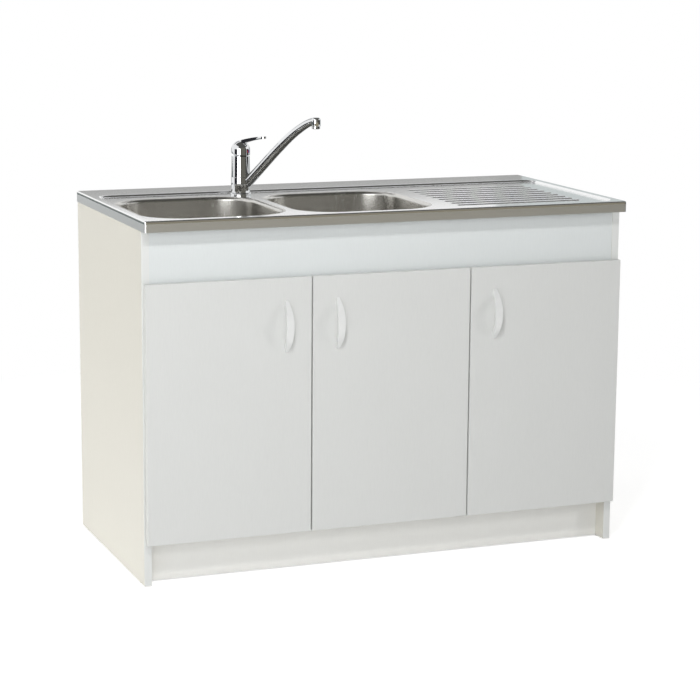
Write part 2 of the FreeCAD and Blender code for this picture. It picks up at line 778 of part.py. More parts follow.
def door_panel(label, place_in_row, hinge_side):
    """Door board with eased front edges, cup bores and handle holes."""
    body = new_body()
    left = door_left(place_in_row)
    outline = new_sketch(body, "XZ_Plane", f"-{DOOR_BACK}")
    rectangle(outline, left, DOOR_BOTTOM, f"{left} + {DOOR_WIDTH}", f"{DOOR_BOTTOM} + fits.door_height")
    board = pad(body, outline, "dims.door_thickness")
    doc.recompute()
    front = number(DOOR_FRONT)
    faces = enumerate(board.Shape.Faces, 1)
    name = next(f"Face{index}" for index, face in faces if abs(face.CenterOfMass.y - front) < 1e-6)
    eased = body.newObject("PartDesign::Fillet", "Fillet")
    eased.Base = (board, [name])
    bind(eased, Radius="dims.door_edge_radius")
    cup_x = from_hinge_edge(place_in_row, hinge_side, CUP_DISTANCE)
    cups = [(cup_x, z) for z in HINGE_Z]
    drill(body, "XZ_Plane", f"-{DOOR_BACK}", cups, "dims.cup_radius", "dims.cup_depth", True)
    handle_x = from_free_edge(place_in_row, hinge_side, "dims.handle_inset")
    holes = [(handle_x, z) for z in HANDLE_HOLES]
    drill(body, "XZ_Plane", f"-{DOOR_BACK}", holes, "dims.handle_screw_radius + dims.fit_clearance",
          "dims.door_thickness", True)
    return node(label, body)


def bow_handle(label, x):
    """Bow pull: a crescent from the side and a leaf from the front, with screw holes in its feet."""
    body = new_body(x=x, y=DOOR_FRONT, z=HANDLE_Z)
    half = "dims.handle_length / 2"
    inner = f"({half} - dims.handle_foot)"
    crescent = loop(new_sketch(body, "YZ_Plane", "-dims.handle_middle_width / 2"), [
        ("0", f"-{half}"),
        ("0", f"-{inner}", "-(dims.handle_reach - dims.handle_thickness)"),
        ("0", inner),
        ("0", half, "dims.handle_reach"),
    ])
    pad(body, crescent, "dims.handle_middle_width")
    swell = "(dims.handle_middle_width - dims.handle_end_width) / 2"
    leaf = new_sketch(body, "XZ_Plane", "-dims.handle_foot")
    rectangle(leaf, "-dims.handle_length", "-dims.handle_length", "dims.handle_length", "dims.handle_length")
    loop(leaf, [
        ("-dims.handle_end_width / 2", f"-{half}"),
        ("dims.handle_end_width / 2", f"-{half}", swell),
        ("dims.handle_end_width / 2", half),
        ("-dims.handle_end_width / 2", half, swell),
    ])
    pocket(body, leaf, "dims.handle_reach * 3", True)
    spots = [("0", "-fits.handle_hole_spacing / 2"), ("0", "fits.handle_hole_spacing / 2")]
    drill(body, "XZ_Plane", "0", spots, "dims.handle_screw_radius + dims.fit_clearance",
          "dims.handle_screw_depth + dims.fit_clearance", True)
    return node(label, body)


def handle_screws(label, x):
    screws = []
    for z in HANDLE_HOLES:
        shaft = rod("Y", "dims.handle_screw_radius", "dims.door_thickness + dims.handle_screw_depth",
                    x, f"{DOOR_FRONT} - dims.handle_screw_depth", z)
        head = rod("Y", "dims.screw_head_radius", "dims.screw_head_height", x, DOOR_BACK, z)
        screws.append(join(shaft, head))
    return group(label, screws)


def hinge_cup(x, z, pin_x):
    """Round cup let into the door, with a screwed flange and two ears that hold the hinge pin."""
    radius = "dims.cup_radius - dims.fit_clearance"
    depth = "(dims.cup_depth - dims.fit_clearance)"
    shell = rod("Y", radius, depth, x, f"{DOOR_BACK} - {depth}", z)
    flange = block("dims.cup_flange_width", "dims.cup_flange", "dims.cup_flange_length",
                   f"{x} - dims.cup_flange_width / 2", DOOR_BACK, f"{z} - dims.cup_flange_length / 2")
    rim = rod("Y", "dims.cup_radius + dims.cup_flange", "dims.cup_flange", x, DOOR_BACK, z)
    inner = rod("Y", f"{radius} - dims.cup_wall", f"{depth} + dims.cup_flange",
                x, f"{DOOR_BACK} - {depth} + dims.cup_wall", z)
    hollow = cut(join(shell, flange, rim), inner)
    ears = []
    gap = "(dims.arm_width / 2 + dims.ear_clearance)"
    height = f"({depth} - dims.pin_depth + dims.eye_radius)"
    for low in (f"{z} + {gap}", f"{z} - {gap} - dims.ear_thickness"):
        ears.append(block("dims.eye_radius * 2", height, "dims.ear_thickness",
                          f"{pin_x} - dims.eye_radius", f"{DOOR_BACK} - {depth}", low))
    hole = rod("Z", "dims.pin_radius + dims.running_clearance", "fits.pin_length",
               pin_x, PIN_Y, f"{z} - fits.pin_length / 2")
    return cut(join(hollow, *ears), hole)


def hinge_arm(pin_x, z, into_cupboard, face_distance):
    """Cranked arm: an eye on the pin, a neck along the cup, a leg out of it and a foot on the plate."""
    body = new_body(x=pin_x, y=PIN_Y, z=f"{z} - dims.arm_width / 2")
    half = "(dims.arm_thickness / 2)"
    leg = "dims.arm_neck"
    front = "(dims.door_standoff + dims.pin_depth)"
    bend = f"({front} + dims.arm_straight)"
    foot_y = f"({bend} + dims.arm_crank)"
    end = f"({front} + dims.arm_reach)"
    foot = f"({face_distance} + dims.plate_height + dims.arm_thickness / 2)"
    corners = [
        ("0", f"-{half}"),
        (f"{leg} + {half}", f"-{half}"),
        (f"{leg} + {half}", bend),
        (f"{foot} + {half}", foot_y),
        (f"{foot} + {half}", end),
        (f"{foot} - {half}", end),
        (f"{foot} - {half}", foot_y),
        (f"{leg} - {half}", bend),
        (f"{leg} - {half}", half),
        ("0", half),
    ]
    outline = new_sketch(body, "XY_Plane")
    loop(outline, [(f"{into_cupboard} * ({x})", y) for x, y in corners])
    pad(body, outline, "dims.arm_width")
    pad(body, circle(new_sketch(body, "XY_Plane"), "dims.eye_radius"), "dims.arm_width")
    eye = "dims.pin_radius + dims.running_clearance"
    drill(body, "XY_Plane", "0", [("0", "0")], eye, "dims.arm_width", True)
    return body


def hinge_plate(face_x, into_cupboard, z):
    """Mounting plate: a raised spine under the arm and a wing with a screw above and below."""
    spine_x = face_x if into_cupboard > 0 else f"{face_x} - dims.plate_height"
    wing_x = face_x if into_cupboard > 0 else f"{face_x} - dims.plate_wing_thickness"
    spine = block("dims.plate_height", "dims.plate_length", "dims.plate_width",
                  spine_x, f"{PLATE_Y} - dims.plate_length / 2", f"{z} - dims.plate_width / 2")
    wing = block("dims.plate_wing_thickness", "dims.plate_wing_width", "dims.plate_wing",
                 wing_x, f"{PLATE_Y} - dims.plate_wing_width / 2", f"{z} - dims.plate_wing / 2")
    holes = [
        rod("X", "dims.plate_screw_radius + dims.fit_clearance", "dims.plate_wing_thickness",
            wing_x, PLATE_Y, f"{z} {sign} dims.plate_screw_spacing / 2")
        for sign in "-+"
    ]
    return cut(join(spine, wing), *holes)


def plate_screw(face_x, into_cupboard, y, z):
    length = "(dims.plate_screw_depth + dims.plate_wing_thickness)"
    if into_cupboard > 0:
        start = f"{face_x} - dims.plate_screw_depth"
        head_x = f"{face_x} + dims.plate_wing_thickness"
    else:
        start = f"{face_x} - dims.plate_wing_thickness"
        head_x = f"{face_x} - dims.plate_wing_thickness - dims.screw_head_height"
    shaft = rod("X", "dims.plate_screw_radius", length, start, y, z)
    head = rod("X", "dims.screw_head_radius", "dims.screw_head_height", head_x, y, z)
    return join(shaft, head)


def doors_and_hinges():
    plates = []
    screws = []
    arms = {"side_hinge_arms": [], "divider_hinge_arms": []}
    for label, place_in_row, hinge_side in DOORS:
        door_panel(label, place_in_row, hinge_side)
        handle_x = from_free_edge(place_in_row, hinge_side, "dims.handle_inset")
        bow_handle(f"{label}_handle", handle_x)
        handle_screws(f"{label}_handle_screws", handle_x)
        cup_x = from_hinge_edge(place_in_row, hinge_side, CUP_DISTANCE)
        pin_x = from_hinge_edge(place_in_row, hinge_side, "dims.pin_edge_distance")
        group(f"{label}_hinge_cups", [hinge_cup(cup_x, z, pin_x) for z in HINGE_Z])
        group(f"{label}_hinge_pins", [
            rod("Z", "dims.pin_radius", "fits.pin_length", pin_x, PIN_Y, f"{z} - fits.pin_length / 2")
            for z in HINGE_Z
        ])
        bumper_x = from_free_edge(place_in_row, hinge_side, "dims.bumper_inset")
        bumper = "dims.door_standoff - dims.bumper_slack"
        top_z = f"(({FASCIA_BOTTOM} + {DOOR_BOTTOM} + fits.door_height) / 2)"
        group(f"{label}_bumpers", [
            rod("Y", "dims.bumper_radius", bumper, bumper_x, DOOR_BACK, z)
            for z in (BOTTOM_Z, top_z)
        ])
        into_cupboard = -hinge_side
        on_divider = label == "middle_door"
        face_x = f"({DIVIDER_X} - dims.board / 2)" if on_divider else f"({hinge_side} * {INNER})"
        distance = f"(({face_x} - {pin_x}) * {into_cupboard})"
        holder = "divider_hinge_arms" if on_divider else "side_hinge_arms"
        for z in HINGE_Z:
            arms[holder].append(hinge_arm(pin_x, z, into_cupboard, distance))
            plates.append(hinge_plate(face_x, into_cupboard, z))
        for y, z in PLATE_SCREWS:
            screws.append(plate_screw(face_x, into_cupboard, y, z))
    for label, pieces in arms.items():
        group(label, pieces)
    group("hinge_plates", plates)
    group("hinge_plate_screws", screws)


def sink_top():
    """Pressed sheet: folded skirt, flat rim, recessed deck with bowl and tap holes, and drainer ribs."""
    body = new_body(y=SINK_MID, z="dims.top_height")
    sheet_steel = "dims.sheet_steel"
    edge = "dims.skirt_bend"
    inside = f"(dims.skirt_bend - {sheet_steel})"
    half = "(dims.sink_width / 2)"
    skirt_path = new_sketch(body, "XY_Plane")
    rounded(skirt_path, "dims.sink_width", "dims.sink_depth", "dims.sink_corner")
    skirt = loop(new_sketch(body, "XZ_Plane"), [
        (f"{half} - {sheet_steel}", "-dims.skirt_height"),
        (half, "-dims.skirt_height"),
        (half, f"-{edge}", quarter(edge)),
        (f"{half} - {edge}", "0"),
        (f"{half} - {edge} - dims.rim_lap", "0"),
        (f"{half} - {edge} - dims.rim_lap", f"-{sheet_steel}"),
        (f"{half} - {edge}", f"-{sheet_steel}", f"-{quarter(inside)}"),
        (f"{half} - {sheet_steel}", f"-{edge}"),
    ])
    pipe(body, skirt, skirt_path)
    fold = new_sketch(body, "XY_Plane", "-dims.skirt_height")
    rounded(fold, f"(dims.sink_width - 2 * {sheet_steel})", f"(dims.sink_depth - 2 * {sheet_steel})",
            f"(dims.sink_corner - {sheet_steel})")
    fold_x = f"({half} - dims.skirt_return)"
    fold_y = "(dims.sink_depth / 2 - dims.skirt_return)"
    rectangle(fold, f"-{fold_x}", f"-{fold_y}", fold_x, fold_y)
    pad(body, fold, sheet_steel)
    recess_width = "(dims.sink_width - 2 * dims.recess_rim)"
    recess_length = "(dims.sink_depth - dims.recess_rim - dims.rear_ledge)"
    recess_y = "((dims.recess_rim - dims.rear_ledge) / 2)"
    rim = new_sketch(body, "XY_Plane")
    flat_corner = f"(dims.sink_corner - {edge} - dims.rim_lap / 2)"
    inset = f"(2 * {edge} + dims.rim_lap)"
    rounded(rim, f"dims.sink_width - {inset}", f"dims.sink_depth - {inset}", flat_corner)
    rounded(rim, recess_width, recess_length, "dims.recess_corner", y=recess_y)
    pad(body, rim, sheet_steel, True)
    step_path = new_sketch(body, "XY_Plane")
    rounded(step_path, recess_width, recess_length, "dims.recess_corner", y=recess_y)
    wall = f"({recess_width} / 2)"
    low = "-dims.deck_recess"
    slope = "dims.recess_slope"
    sag = "(dims.deck_recess / 8)"
    step = loop(new_sketch(body, "XZ_Plane"), [
        (wall, "0", sag),
        (f"{wall} - {slope} / 2", f"{low} / 2", f"-{sag}"),
        (f"{wall} - {slope}", low),
        (f"{wall} - {slope}", f"{low} - {sheet_steel}", sag),
        (f"{wall} - {slope} / 2", f"{low} / 2 - {sheet_steel}", f"-{sag}"),
        (wall, f"-{sheet_steel}"),
    ])
    pipe(body, step, step_path)
    deck = new_sketch(body, "XY_Plane", low)
    rounded(deck, f"{recess_width} - 2 * {slope}", f"{recess_length} - 2 * {slope}",
            f"(dims.recess_corner - {slope})", y=recess_y)
    flare = "2 * (dims.bowl_lip + dims.bowl_flange)"
    for x in BOWL_X.values():
        rounded(deck, f"(fits.bowl_width + {flare})", f"(fits.bowl_length + {flare})",
                "(dims.bowl_corner + dims.bowl_lip + dims.bowl_flange)", x, f"({BOWL_Y} - {SINK_MID})")
    circle(deck, "fits.tap_hole_radius", TAP_X, f"{TAP_Y} - {SINK_MID}")
    pad(body, deck, sheet_steel, True)
    drainer_ribs(body)
    return node("sink_top", body)


def drainer_ribs(body):
    """Raised beads across the drainer, hollow underneath like the rest of the pressing."""
    first = "(fits.rib_end - fits.rib_length)"
    middle = f"({BOWL_Y} - {SINK_MID})"
    for hollow in (False, True):
        shrink = "dims.sheet_steel" if hollow else "0"
        level = f"(-dims.deck_recess - {shrink})"
        half = f"(dims.rib_half_width - {shrink} / 2)"
        beads = new_sketch(body, "YZ_Plane", f"{first} + {shrink}")
        for index in range(int(number("dims.rib_count"))):
            y = f"{middle} + dims.rib_pitch * ({index} - (dims.rib_count - 1) / 2)"
            loop(beads, [(f"{y} - {half}", level), (f"{y} + {half}", level, "dims.rib_rise")])
        length = f"fits.rib_length - 2 * {shrink}"
        if hollow:
            pocket(body, beads, length, True)
        else:
            pad(body, beads, length)


def bowl(label, x):
    """Deep-drawn bowl with a rolled lip, square to the deck, and a waste hole in its floor."""
    body = new_body(x=x, y=BOWL_Y, z=DECK)
    steel = "dims.sheet_steel"
    wall = "(fits.bowl_width / 2)"
    lip = "dims.bowl_lip"
    flange = f"({wall} + {lip} + dims.bowl_flange)"
    deep = "dims.bowl_depth"
    turn = "dims.bowl_bottom_radius"
    floor = f"({wall} - {turn} - dims.bowl_flange)"
    path = rounded(new_sketch(body, "XY_Plane"), "fits.bowl_width", "fits.bowl_length", "dims.bowl_corner")
    profile = loop(new_sketch(body, "XZ_Plane"), [
        (flange, "0"),
        (f"{wall} + {lip}", "0", quarter(lip)),
        (wall, f"-{lip}"),
        (wall, f"-{deep} + {turn}", f"-{quarter(turn)}"),
        (f"{wall} - {turn}", f"-{deep}"),
        (floor, f"-{deep}"),
        (floor, f"-{deep} - {steel}"),
        (f"{wall} - {turn}", f"-{deep} - {steel}", quarter(f"{turn} + {steel}")),
        (f"{wall} + {steel}", f"-{deep} + {turn}"),
        (f"{wall} + {steel}", f"-{lip}", f"-{quarter(f'{lip} - {steel}')}"),
        (f"{wall} + {lip}", f"-{steel}"),
        (flange, f"-{steel}"),
    ])
    pipe(body, profile, path)
    inset = f"2 * ({turn} + dims.bowl_flange)"
    bottom = new_sketch(body, "XY_Plane", f"-{deep}")
    rounded(bottom, f"(fits.bowl_width - {inset})", f"(fits.bowl_length - {inset})",
            f"(dims.bowl_corner - {turn} - dims.bowl_flange)")
    circle(bottom, "dims.waste_hole_radius")
    pad(body, bottom, steel, True)
    return node(label, body)


def waste_flange(x):
    """Steel dish that drops through the bowl's waste hole and rests on the bowl's floor by its rim."""
    body = new_body(x=x, y=BOWL_Y, z=BOWL_FLOOR)
    rim = "dims.waste_rim"
    dish = "fits.waste_dish_radius"
    wall = "dims.waste_wall"
    deep = "dims.waste_dish_depth"
    outlet = "dims.pipe_radius"
    revolve(body, [
        ("fits.waste_rim_radius", "0"),
        (f"fits.waste_rim_radius - {rim}", rim),
        (f"{dish} - {wall}", rim),
        (f"{dish} - {wall}", f"-{deep} + {wall}"),
        (outlet, f"-{deep} + {wall}"),
        (outlet, f"-{deep}"),
        (dish, f"-{deep}"),
        (dish, "0"),
    ])
    return body


def waste_gasket(x):
    body = new_body(x=x, y=BOWL_Y, z=f"{BOWL_FLOOR} - dims.sheet_steel")
    inner = "dims.waste_hole_radius"
    outer = "fits.waste_rim_radius"
    revolve(body, [
        (inner, "0"), (inner, "-dims.gasket_thickness"), (outer, "-dims.gasket_thickness"), (outer, "0"),
    ])
    return body


def waste_body(x):
    """Moulded funnel under the bowl, clamped up against the gasket, ending in a threaded spigot."""
    body = new_body(x=x, y=BOWL_Y, z=BOWL_FLOOR)
    top = "(dims.sheet_steel + dims.gasket_thickness)"
    wall = "dims.body_wall"
    outer = "fits.waste_rim_radius"
    throat = f"(dims.waste_hole_radius + {wall})"
    shoulder = f"(dims.waste_dish_depth + {wall})"
    spigot = "dims.spigot_radius"
    revolve(body, [
        ("dims.waste_hole_radius", f"-{top}"),
        ("dims.waste_hole_radius", f"-{shoulder} + {wall}"),
        (f"{spigot} - {wall}", f"-{shoulder} - {wall} * 2"),
        (f"{spigot} - {wall}", "-dims.spigot_drop"),
        (spigot, "-dims.spigot_drop"),
        (spigot, f"-{shoulder} - {wall} * 4"),
        (throat, f"-{shoulder}"),
        (throat, f"-{top} - {wall}"),
        (outer, f"-{top} - {wall}"),
        (outer, f"-{top}"),
    ])
    return body


def basket(label, x):
    """Lift-out strainer with holes in its floor and a knob to pull it by."""
    rest = f"({BOWL_FLOOR} - dims.waste_dish_depth + dims.waste_wall)"
    body = new_body(x=x, y=BOWL_Y, z=rest)
    wall = "dims.basket_wall"
    outer = "(fits.waste_dish_radius - dims.waste_wall - dims.basket_slack)"
    knob = "dims.knob_radius"
    stem = f"({knob} / 2)"
    revolve(body, [
        ("0", "0"),
        (outer, "0"),
        (outer, "dims.basket_depth"),
        (f"{outer} - {wall}", "dims.basket_depth"),
        (f"{outer} - {wall}", wall),
        (stem, wall),
        (stem, f"dims.knob_height - {stem}"),
        (knob, f"dims.knob_height - {stem} / 2", quarter(stem) + " / 2"),
        (stem, "dims.knob_height"),
        ("0", "dims.knob_height"),
    ])
    ring = new_sketch(body, "XY_Plane")
    circle(ring, "dims.basket_hole_radius", "dims.basket_hole_ring", "0")
    hole = pocket(body, ring, wall, True)
    doc.recompute()
    pattern = body.newObject("PartDesign::PolarPattern", "PolarPattern")
    pattern.Originals = [hole]
    pattern.Axis = (ring, ["N_Axis"])
    pattern.Angle = 360
    bind(pattern, Occurrences="dims.basket_hole_count")
    body.Tip = pattern
    return node(label, body)


BRANCH_Z = f"({SPIGOT_END} - dims.branch_drop)"
OUTLET_Z = f"({SPIGOT_END} - dims.outlet_drop)"
TRAP_SHOULDER = f"({SPIGOT_END} - dims.trap_neck)"
TRAP_END = f"({TRAP_SHOULDER} - dims.trap_height)"


def drain_pipe():
    """Branch from the left waste: an elbow and a straight run to the trap under the right bowl."""
    body = new_body(y=BOWL_Y)
    bend = "dims.pipe_bend"
    path = new_sketch(body, "XZ_Plane")
    top = (number(BOWL_X["left"]), number(SPIGOT_END))
    drop = Part.LineSegment(Vector(*top, 0), Vector(top[0], number(f"{BRANCH_Z} + {bend}"), 0))
    elbow_centre = Vector(top[0] + number(bend), number(f"{BRANCH_Z} + {bend}"), 0)
    elbow = Part.ArcOfCircle(Part.Circle(elbow_centre, Vector(0, 0, 1), number(bend)), math.pi, 1.5 * math.pi)
    run_end = f"{BOWL_X['right']} - dims.pipe_radius - dims.nut_height"
    level = number(BRANCH_Z)
    run = Part.LineSegment(Vector(elbow_centre.x, level, 0), Vector(number(run_end), level, 0))
    for piece in (drop, elbow, run):
        path.addGeometry(piece, False)
    path.addConstraint(Sketcher.Constraint("Tangent", 0, 2, 1, 1))
    path.addConstraint(Sketcher.Constraint("Tangent", 1, 2, 2, 1))
    pin_point(path, 0, 1, BOWL_X["left"], SPIGOT_END)
    pin_point(path, 2, 2, run_end, BRANCH_Z)
    path.addConstraint(Sketcher.Constraint("Vertical", 0))
    path.addConstraint(Sketcher.Constraint("Horizontal", 2))
    constrain(path, Sketcher.Constraint("Radius", 1, number(bend)), bend)
    section = new_sketch(body, "XY_Plane", SPIGOT_END)
    circle(section, "dims.pipe_radius", BOWL_X["left"])
    circle(section, "dims.pipe_radius - dims.pipe_wall", BOWL_X["left"])
    pipe(body, section, path)
    return node("drain_pipe", body)


def trap_body():
    """Upper half of the bottle trap, with a side inlet for the branch and an outlet to the wall."""
    body = new_body(x=BOWL_X["right"], y=BOWL_Y)
    wall = "dims.body_wall"
    pipe_radius = "dims.pipe_radius"
    bottle = "dims.trap_radius"
    revolve(body, [
        (f"{pipe_radius} - {wall}", SPIGOT_END),
        (f"{pipe_radius} - {wall}", f"{TRAP_SHOULDER} - {wall}"),
        (f"{bottle} - {wall}", f"{TRAP_SHOULDER} - {wall} * 3"),
        (f"{bottle} - {wall}", TRAP_END),
        (bottle, TRAP_END),
        (bottle, f"{TRAP_SHOULDER} - {wall} * 2"),
        (pipe_radius, TRAP_SHOULDER),
        (pipe_radius, SPIGOT_END),
    ])
    inlet = new_sketch(body, "YZ_Plane", f"-{pipe_radius} - dims.nut_height")
    circle(inlet, pipe_radius, "0", BRANCH_Z)
    pad(body, inlet, f"{pipe_radius} + dims.nut_height - {wall} * 2")
    outlet = new_sketch(body, "XZ_Plane", f"-{bottle} - dims.nut_height")
    circle(outlet, pipe_radius, "0", OUTLET_Z)
    pad(body, outlet, f"dims.nut_height + {wall}")
    bore = f"{pipe_radius} - dims.pipe_wall"
    drill(body, "YZ_Plane", f"-{pipe_radius} - dims.nut_height", [("0", BRANCH_Z)], bore,
          f"{pipe_radius} + dims.nut_height", True)
    drill(body, "XZ_Plane", f"-{bottle} - dims.nut_height", [("0", OUTLET_Z)], bore,
          f"dims.nut_height + {wall} * 2", True)
    return node("trap_body", body)


def trap_cup():
    """Screw-off lower cup of the trap, ribbed by a grip band."""
    body = new_body(x=BOWL_X["right"], y=BOWL_Y, z=TRAP_END)
    wall = "dims.body_wall"
    bottle = "dims.trap_radius"
    grip = f"({bottle} + {wall})"
    revolve(body, [
        (f"{bottle} - {wall}", "0"),
        (f"{bottle} - {wall}", f"-dims.cup_height + {wall} * 3"),
        (f"{bottle} - {wall} * 3", f"-dims.cup_height + {wall}"),
        ("0", f"-dims.cup_height + {wall}"),
        ("0", "-dims.cup_height"),
        (f"{bottle} - {wall} * 2", "-dims.cup_height"),
        (bottle, f"-dims.cup_height + {wall} * 2"),
        (bottle, "-dims.nut_height"),
        (grip, "-dims.nut_height"),
        (grip, "0"),
    ])
    return node("trap_cup", body)


def outlet_pipe():
    """Straight pipe from the trap towards the wall, with a spigot that the house's waste pipe slides over."""
    start = f"({BOWL_Y} + dims.trap_radius + dims.nut_height)"
    length = f"({BACK} - dims.outlet_setback - {start})"
    body = new_body(x=BOWL_X["right"], y=start, z=OUTLET_Z, turn=AXIS_TURNS["Y"])
    bore = "(dims.pipe_radius - dims.pipe_wall)"
    slim = "(dims.pipe_radius - dims.outlet_step)"
    shoulder = f"({length} - dims.outlet_spigot)"
    revolve(body, [
        (bore, "0"),
        ("dims.pipe_radius", "0"),
        ("dims.pipe_radius", f"{shoulder} - dims.outlet_taper"),
        (slim, shoulder),
        (slim, length),
        (bore, length),
    ])
    return node("outlet_pipe", body)


def coupling_nuts():
    """Union nuts over the pipe joints."""
    half = "dims.nut_height / 2"
    wide = "(dims.spigot_radius + dims.fit_clearance)"
    slim = "(dims.pipe_radius + dims.fit_clearance)"
    inlet_x = f"{BOWL_X['right']} - dims.pipe_radius - dims.nut_height - {half}"
    outlet_y = f"{BOWL_Y} + dims.trap_radius + dims.nut_height - {half}"
    spots = [
        ("Z", wide, BOWL_X["left"], BOWL_Y, f"{SPIGOT_END} - {half}"),
        ("Z", wide, BOWL_X["right"], BOWL_Y, f"{SPIGOT_END} - {half}"),
        ("X", slim, inlet_x, BOWL_Y, BRANCH_Z),
        ("Y", slim, BOWL_X["right"], outlet_y, OUTLET_Z),
    ]
    nuts = []
    for axis, inside, x, y, z in spots:
        outer = rod(axis, f"{inside} + dims.nut_wall", "dims.nut_height", x, y, z)
        nuts.append(cut(outer, rod(axis, inside, "dims.nut_height", x, y, z)))
    return group("coupling_nuts", nuts)


def tap_base_ring():
    body = new_body(x=TAP_X, y=TAP_Y, z=DECK)
    bore = "(dims.shank_radius + dims.fit_clearance)"
    revolve(body, [
        (bore, "0"),
        ("dims.base_ring_radius", "0"),
        ("dims.base_ring_radius", "dims.base_ring_height / 2", "dims.base_ring_height / 8"),
        ("dims.collar_radius", "dims.base_ring_height"),
        (bore, "dims.base_ring_height"),
    ])
    return node("tap_base_ring", body)


def tap_body():
    """Turned casting: a sleeve for the spout's collar, a barrel, and a ball crown under the lever."""
    body = new_body(x=TAP_X, y=TAP_Y, z=DECK)
    seat = "dims.base_ring_height"
    barrel = f"({seat} + dims.collar_height + 2 * dims.axial_clearance)"
    crown = "dims.tap_body_top"
    pivot = "fits.lever_pivot"
    ball = "dims.ball_radius"
    below = "dims.pivot_rise"
    neck = "fits.crown_neck"
    lip = f"sqrt({ball} ^ 2 - dims.ball_top ^ 2)"
    chord = f"sqrt(({lip} - {neck}) ^ 2 + ({below} + dims.ball_top) ^ 2)"
    bulge = f"({ball} - sqrt({ball} ^ 2 - ({chord}) ^ 2 / 4))"
    bore = "(dims.stem_radius + dims.running_clearance)"
    foot = "(dims.stem_foot - dims.axial_clearance)"
    revolve(body, [
        ("0", seat),
        ("dims.sleeve_radius", seat),
        ("dims.sleeve_radius", barrel),
        ("dims.tap_body_radius", barrel),
        ("dims.tap_crown_radius", crown),
        (neck, crown, bulge),
        (lip, f"{pivot} + dims.ball_top"),
        ("fits.stem_bore", f"{pivot} + dims.ball_top"),
        ("fits.stem_bore", f"{crown} - dims.base_ring_height"),
        (bore, f"{crown} - dims.base_ring_height"),
        (bore, foot),
        ("0", foot),
    ])
    return node("tap_body", body)


# Sections of the spout: share of the reach, lift as a share of the rise, and lean as a share of the climb
SPOUT_STATIONS = [
    (0, 0, 1.1),
    (0.25, 0, 1.1),
    (0.5, 0, 1.08),
    (0.75, 0.02, 0.85),
    (0.9, 0.02, 0.4),
    (1, 0, 0.05),
]


def tap_spout():
    """Cast arm that climbs away from a swivel collar and levels out over the bowls."""
    turn = Rotation(Vector(0, 0, 1), number("dims.spout_angle"))
    collar_low = "(dims.base_ring_height + dims.axial_clearance)"
    body = new_body(x=TAP_X, y=TAP_Y, z=DECK, turn=turn)
    root = number("dims.spout_root")
    rise = number("dims.spout_rise")
    reach = number("dims.spout_reach")
    start = number("dims.sleeve_radius + dims.spout_embed")
    thick = number("dims.spout_root_radius")
    slim = number("dims.spout_tip_radius")
    climb = math.atan2(rise - root, reach - start)
    sections = []
    for share, lift, tilt in SPOUT_STATIONS:
        section = new_sketch(body, "YZ_Plane")
        circle(section, f"{thick + (slim - thick) * share}")
        section.setExpression("AttachmentOffset.Base.z", None)
        along = start + (reach - start) * share
        height = root + (rise - root) * (math.sin(share * math.pi / 2) * 0.5 + share * 0.5 + lift)
        lean = Rotation(Vector(1, 0, 0), -math.degrees(climb * tilt))
        section.AttachmentOffset = Placement(Vector(0, height, along), lean)
        sections.append(section)
    arm = body.newObject("PartDesign::AdditiveLoft", "AdditiveLoft")
    arm.Profile = sections[0]
    arm.Sections = sections[1:]
    collar_top = f"({collar_low} + dims.collar_height)"
    revolve(body, [
        ("0", collar_low),
        ("dims.collar_radius", collar_low),
        ("dims.collar_radius", collar_top),
        ("0", collar_top),
    ])
    bore = "(dims.sleeve_radius + dims.running_clearance)"
    barrel = "(dims.tap_body_radius + dims.axial_clearance)"
    revolve(body, [
        ("0", "0"),
        (bore, "0"),
        (bore, collar_top),
        (barrel, collar_top),
        (barrel, "dims.tap_body_top"),
        ("0", "dims.tap_body_top"),
    ], groove=True)
    nose = new_sketch(body, "XY_Plane", "dims.spout_rise - dims.spout_nose")
    circle(nose, "dims.aerator_radius + dims.body_wall / 2", "dims.spout_reach")
    shoulder = "dims.spout_tip_radius - dims.spout_nose_round"
    pad(body, nose, f"dims.spout_nose + {shoulder}")
    cap = new_sketch(body, "XY_Plane", f"dims.spout_rise + {shoulder}")
    circle(cap, "dims.aerator_radius + dims.body_wall / 2", "dims.spout_reach")
    bind(pad(body, cap, "dims.spout_nose_round"), TaperAngle="dims.spout_nose_taper")
    drill(body, "XY_Plane", "dims.spout_rise - dims.spout_nose", [("dims.spout_reach", "0")],
          "dims.aerator_radius - dims.body_wall / 2 + dims.fit_clearance", "dims.aerator_height / 2", True)
    return node("tap_spout", body)


def tap_aerator():
    x = f"{TAP_X} + dims.spout_reach * cos(dims.spout_angle)"
    y = f"{TAP_Y} + dims.spout_reach * sin(dims.spout_angle)"
    body = new_body(x=x, y=y, z=f"{DECK} + dims.spout_rise - dims.spout_nose")
    inner = "(dims.aerator_radius - dims.body_wall / 2)"
    half = "(dims.aerator_height / 2)"
    revolve(body, [
        ("0", f"-{half}"),
        (inner, f"-{half}"),
        ("dims.aerator_radius", f"-{half} + dims.body_wall / 2"),
        ("dims.aerator_radius", "0"),
        (inner, "0"),
        (inner, half),
        ("0", half),
    ])
    return node("tap_aerator", body)


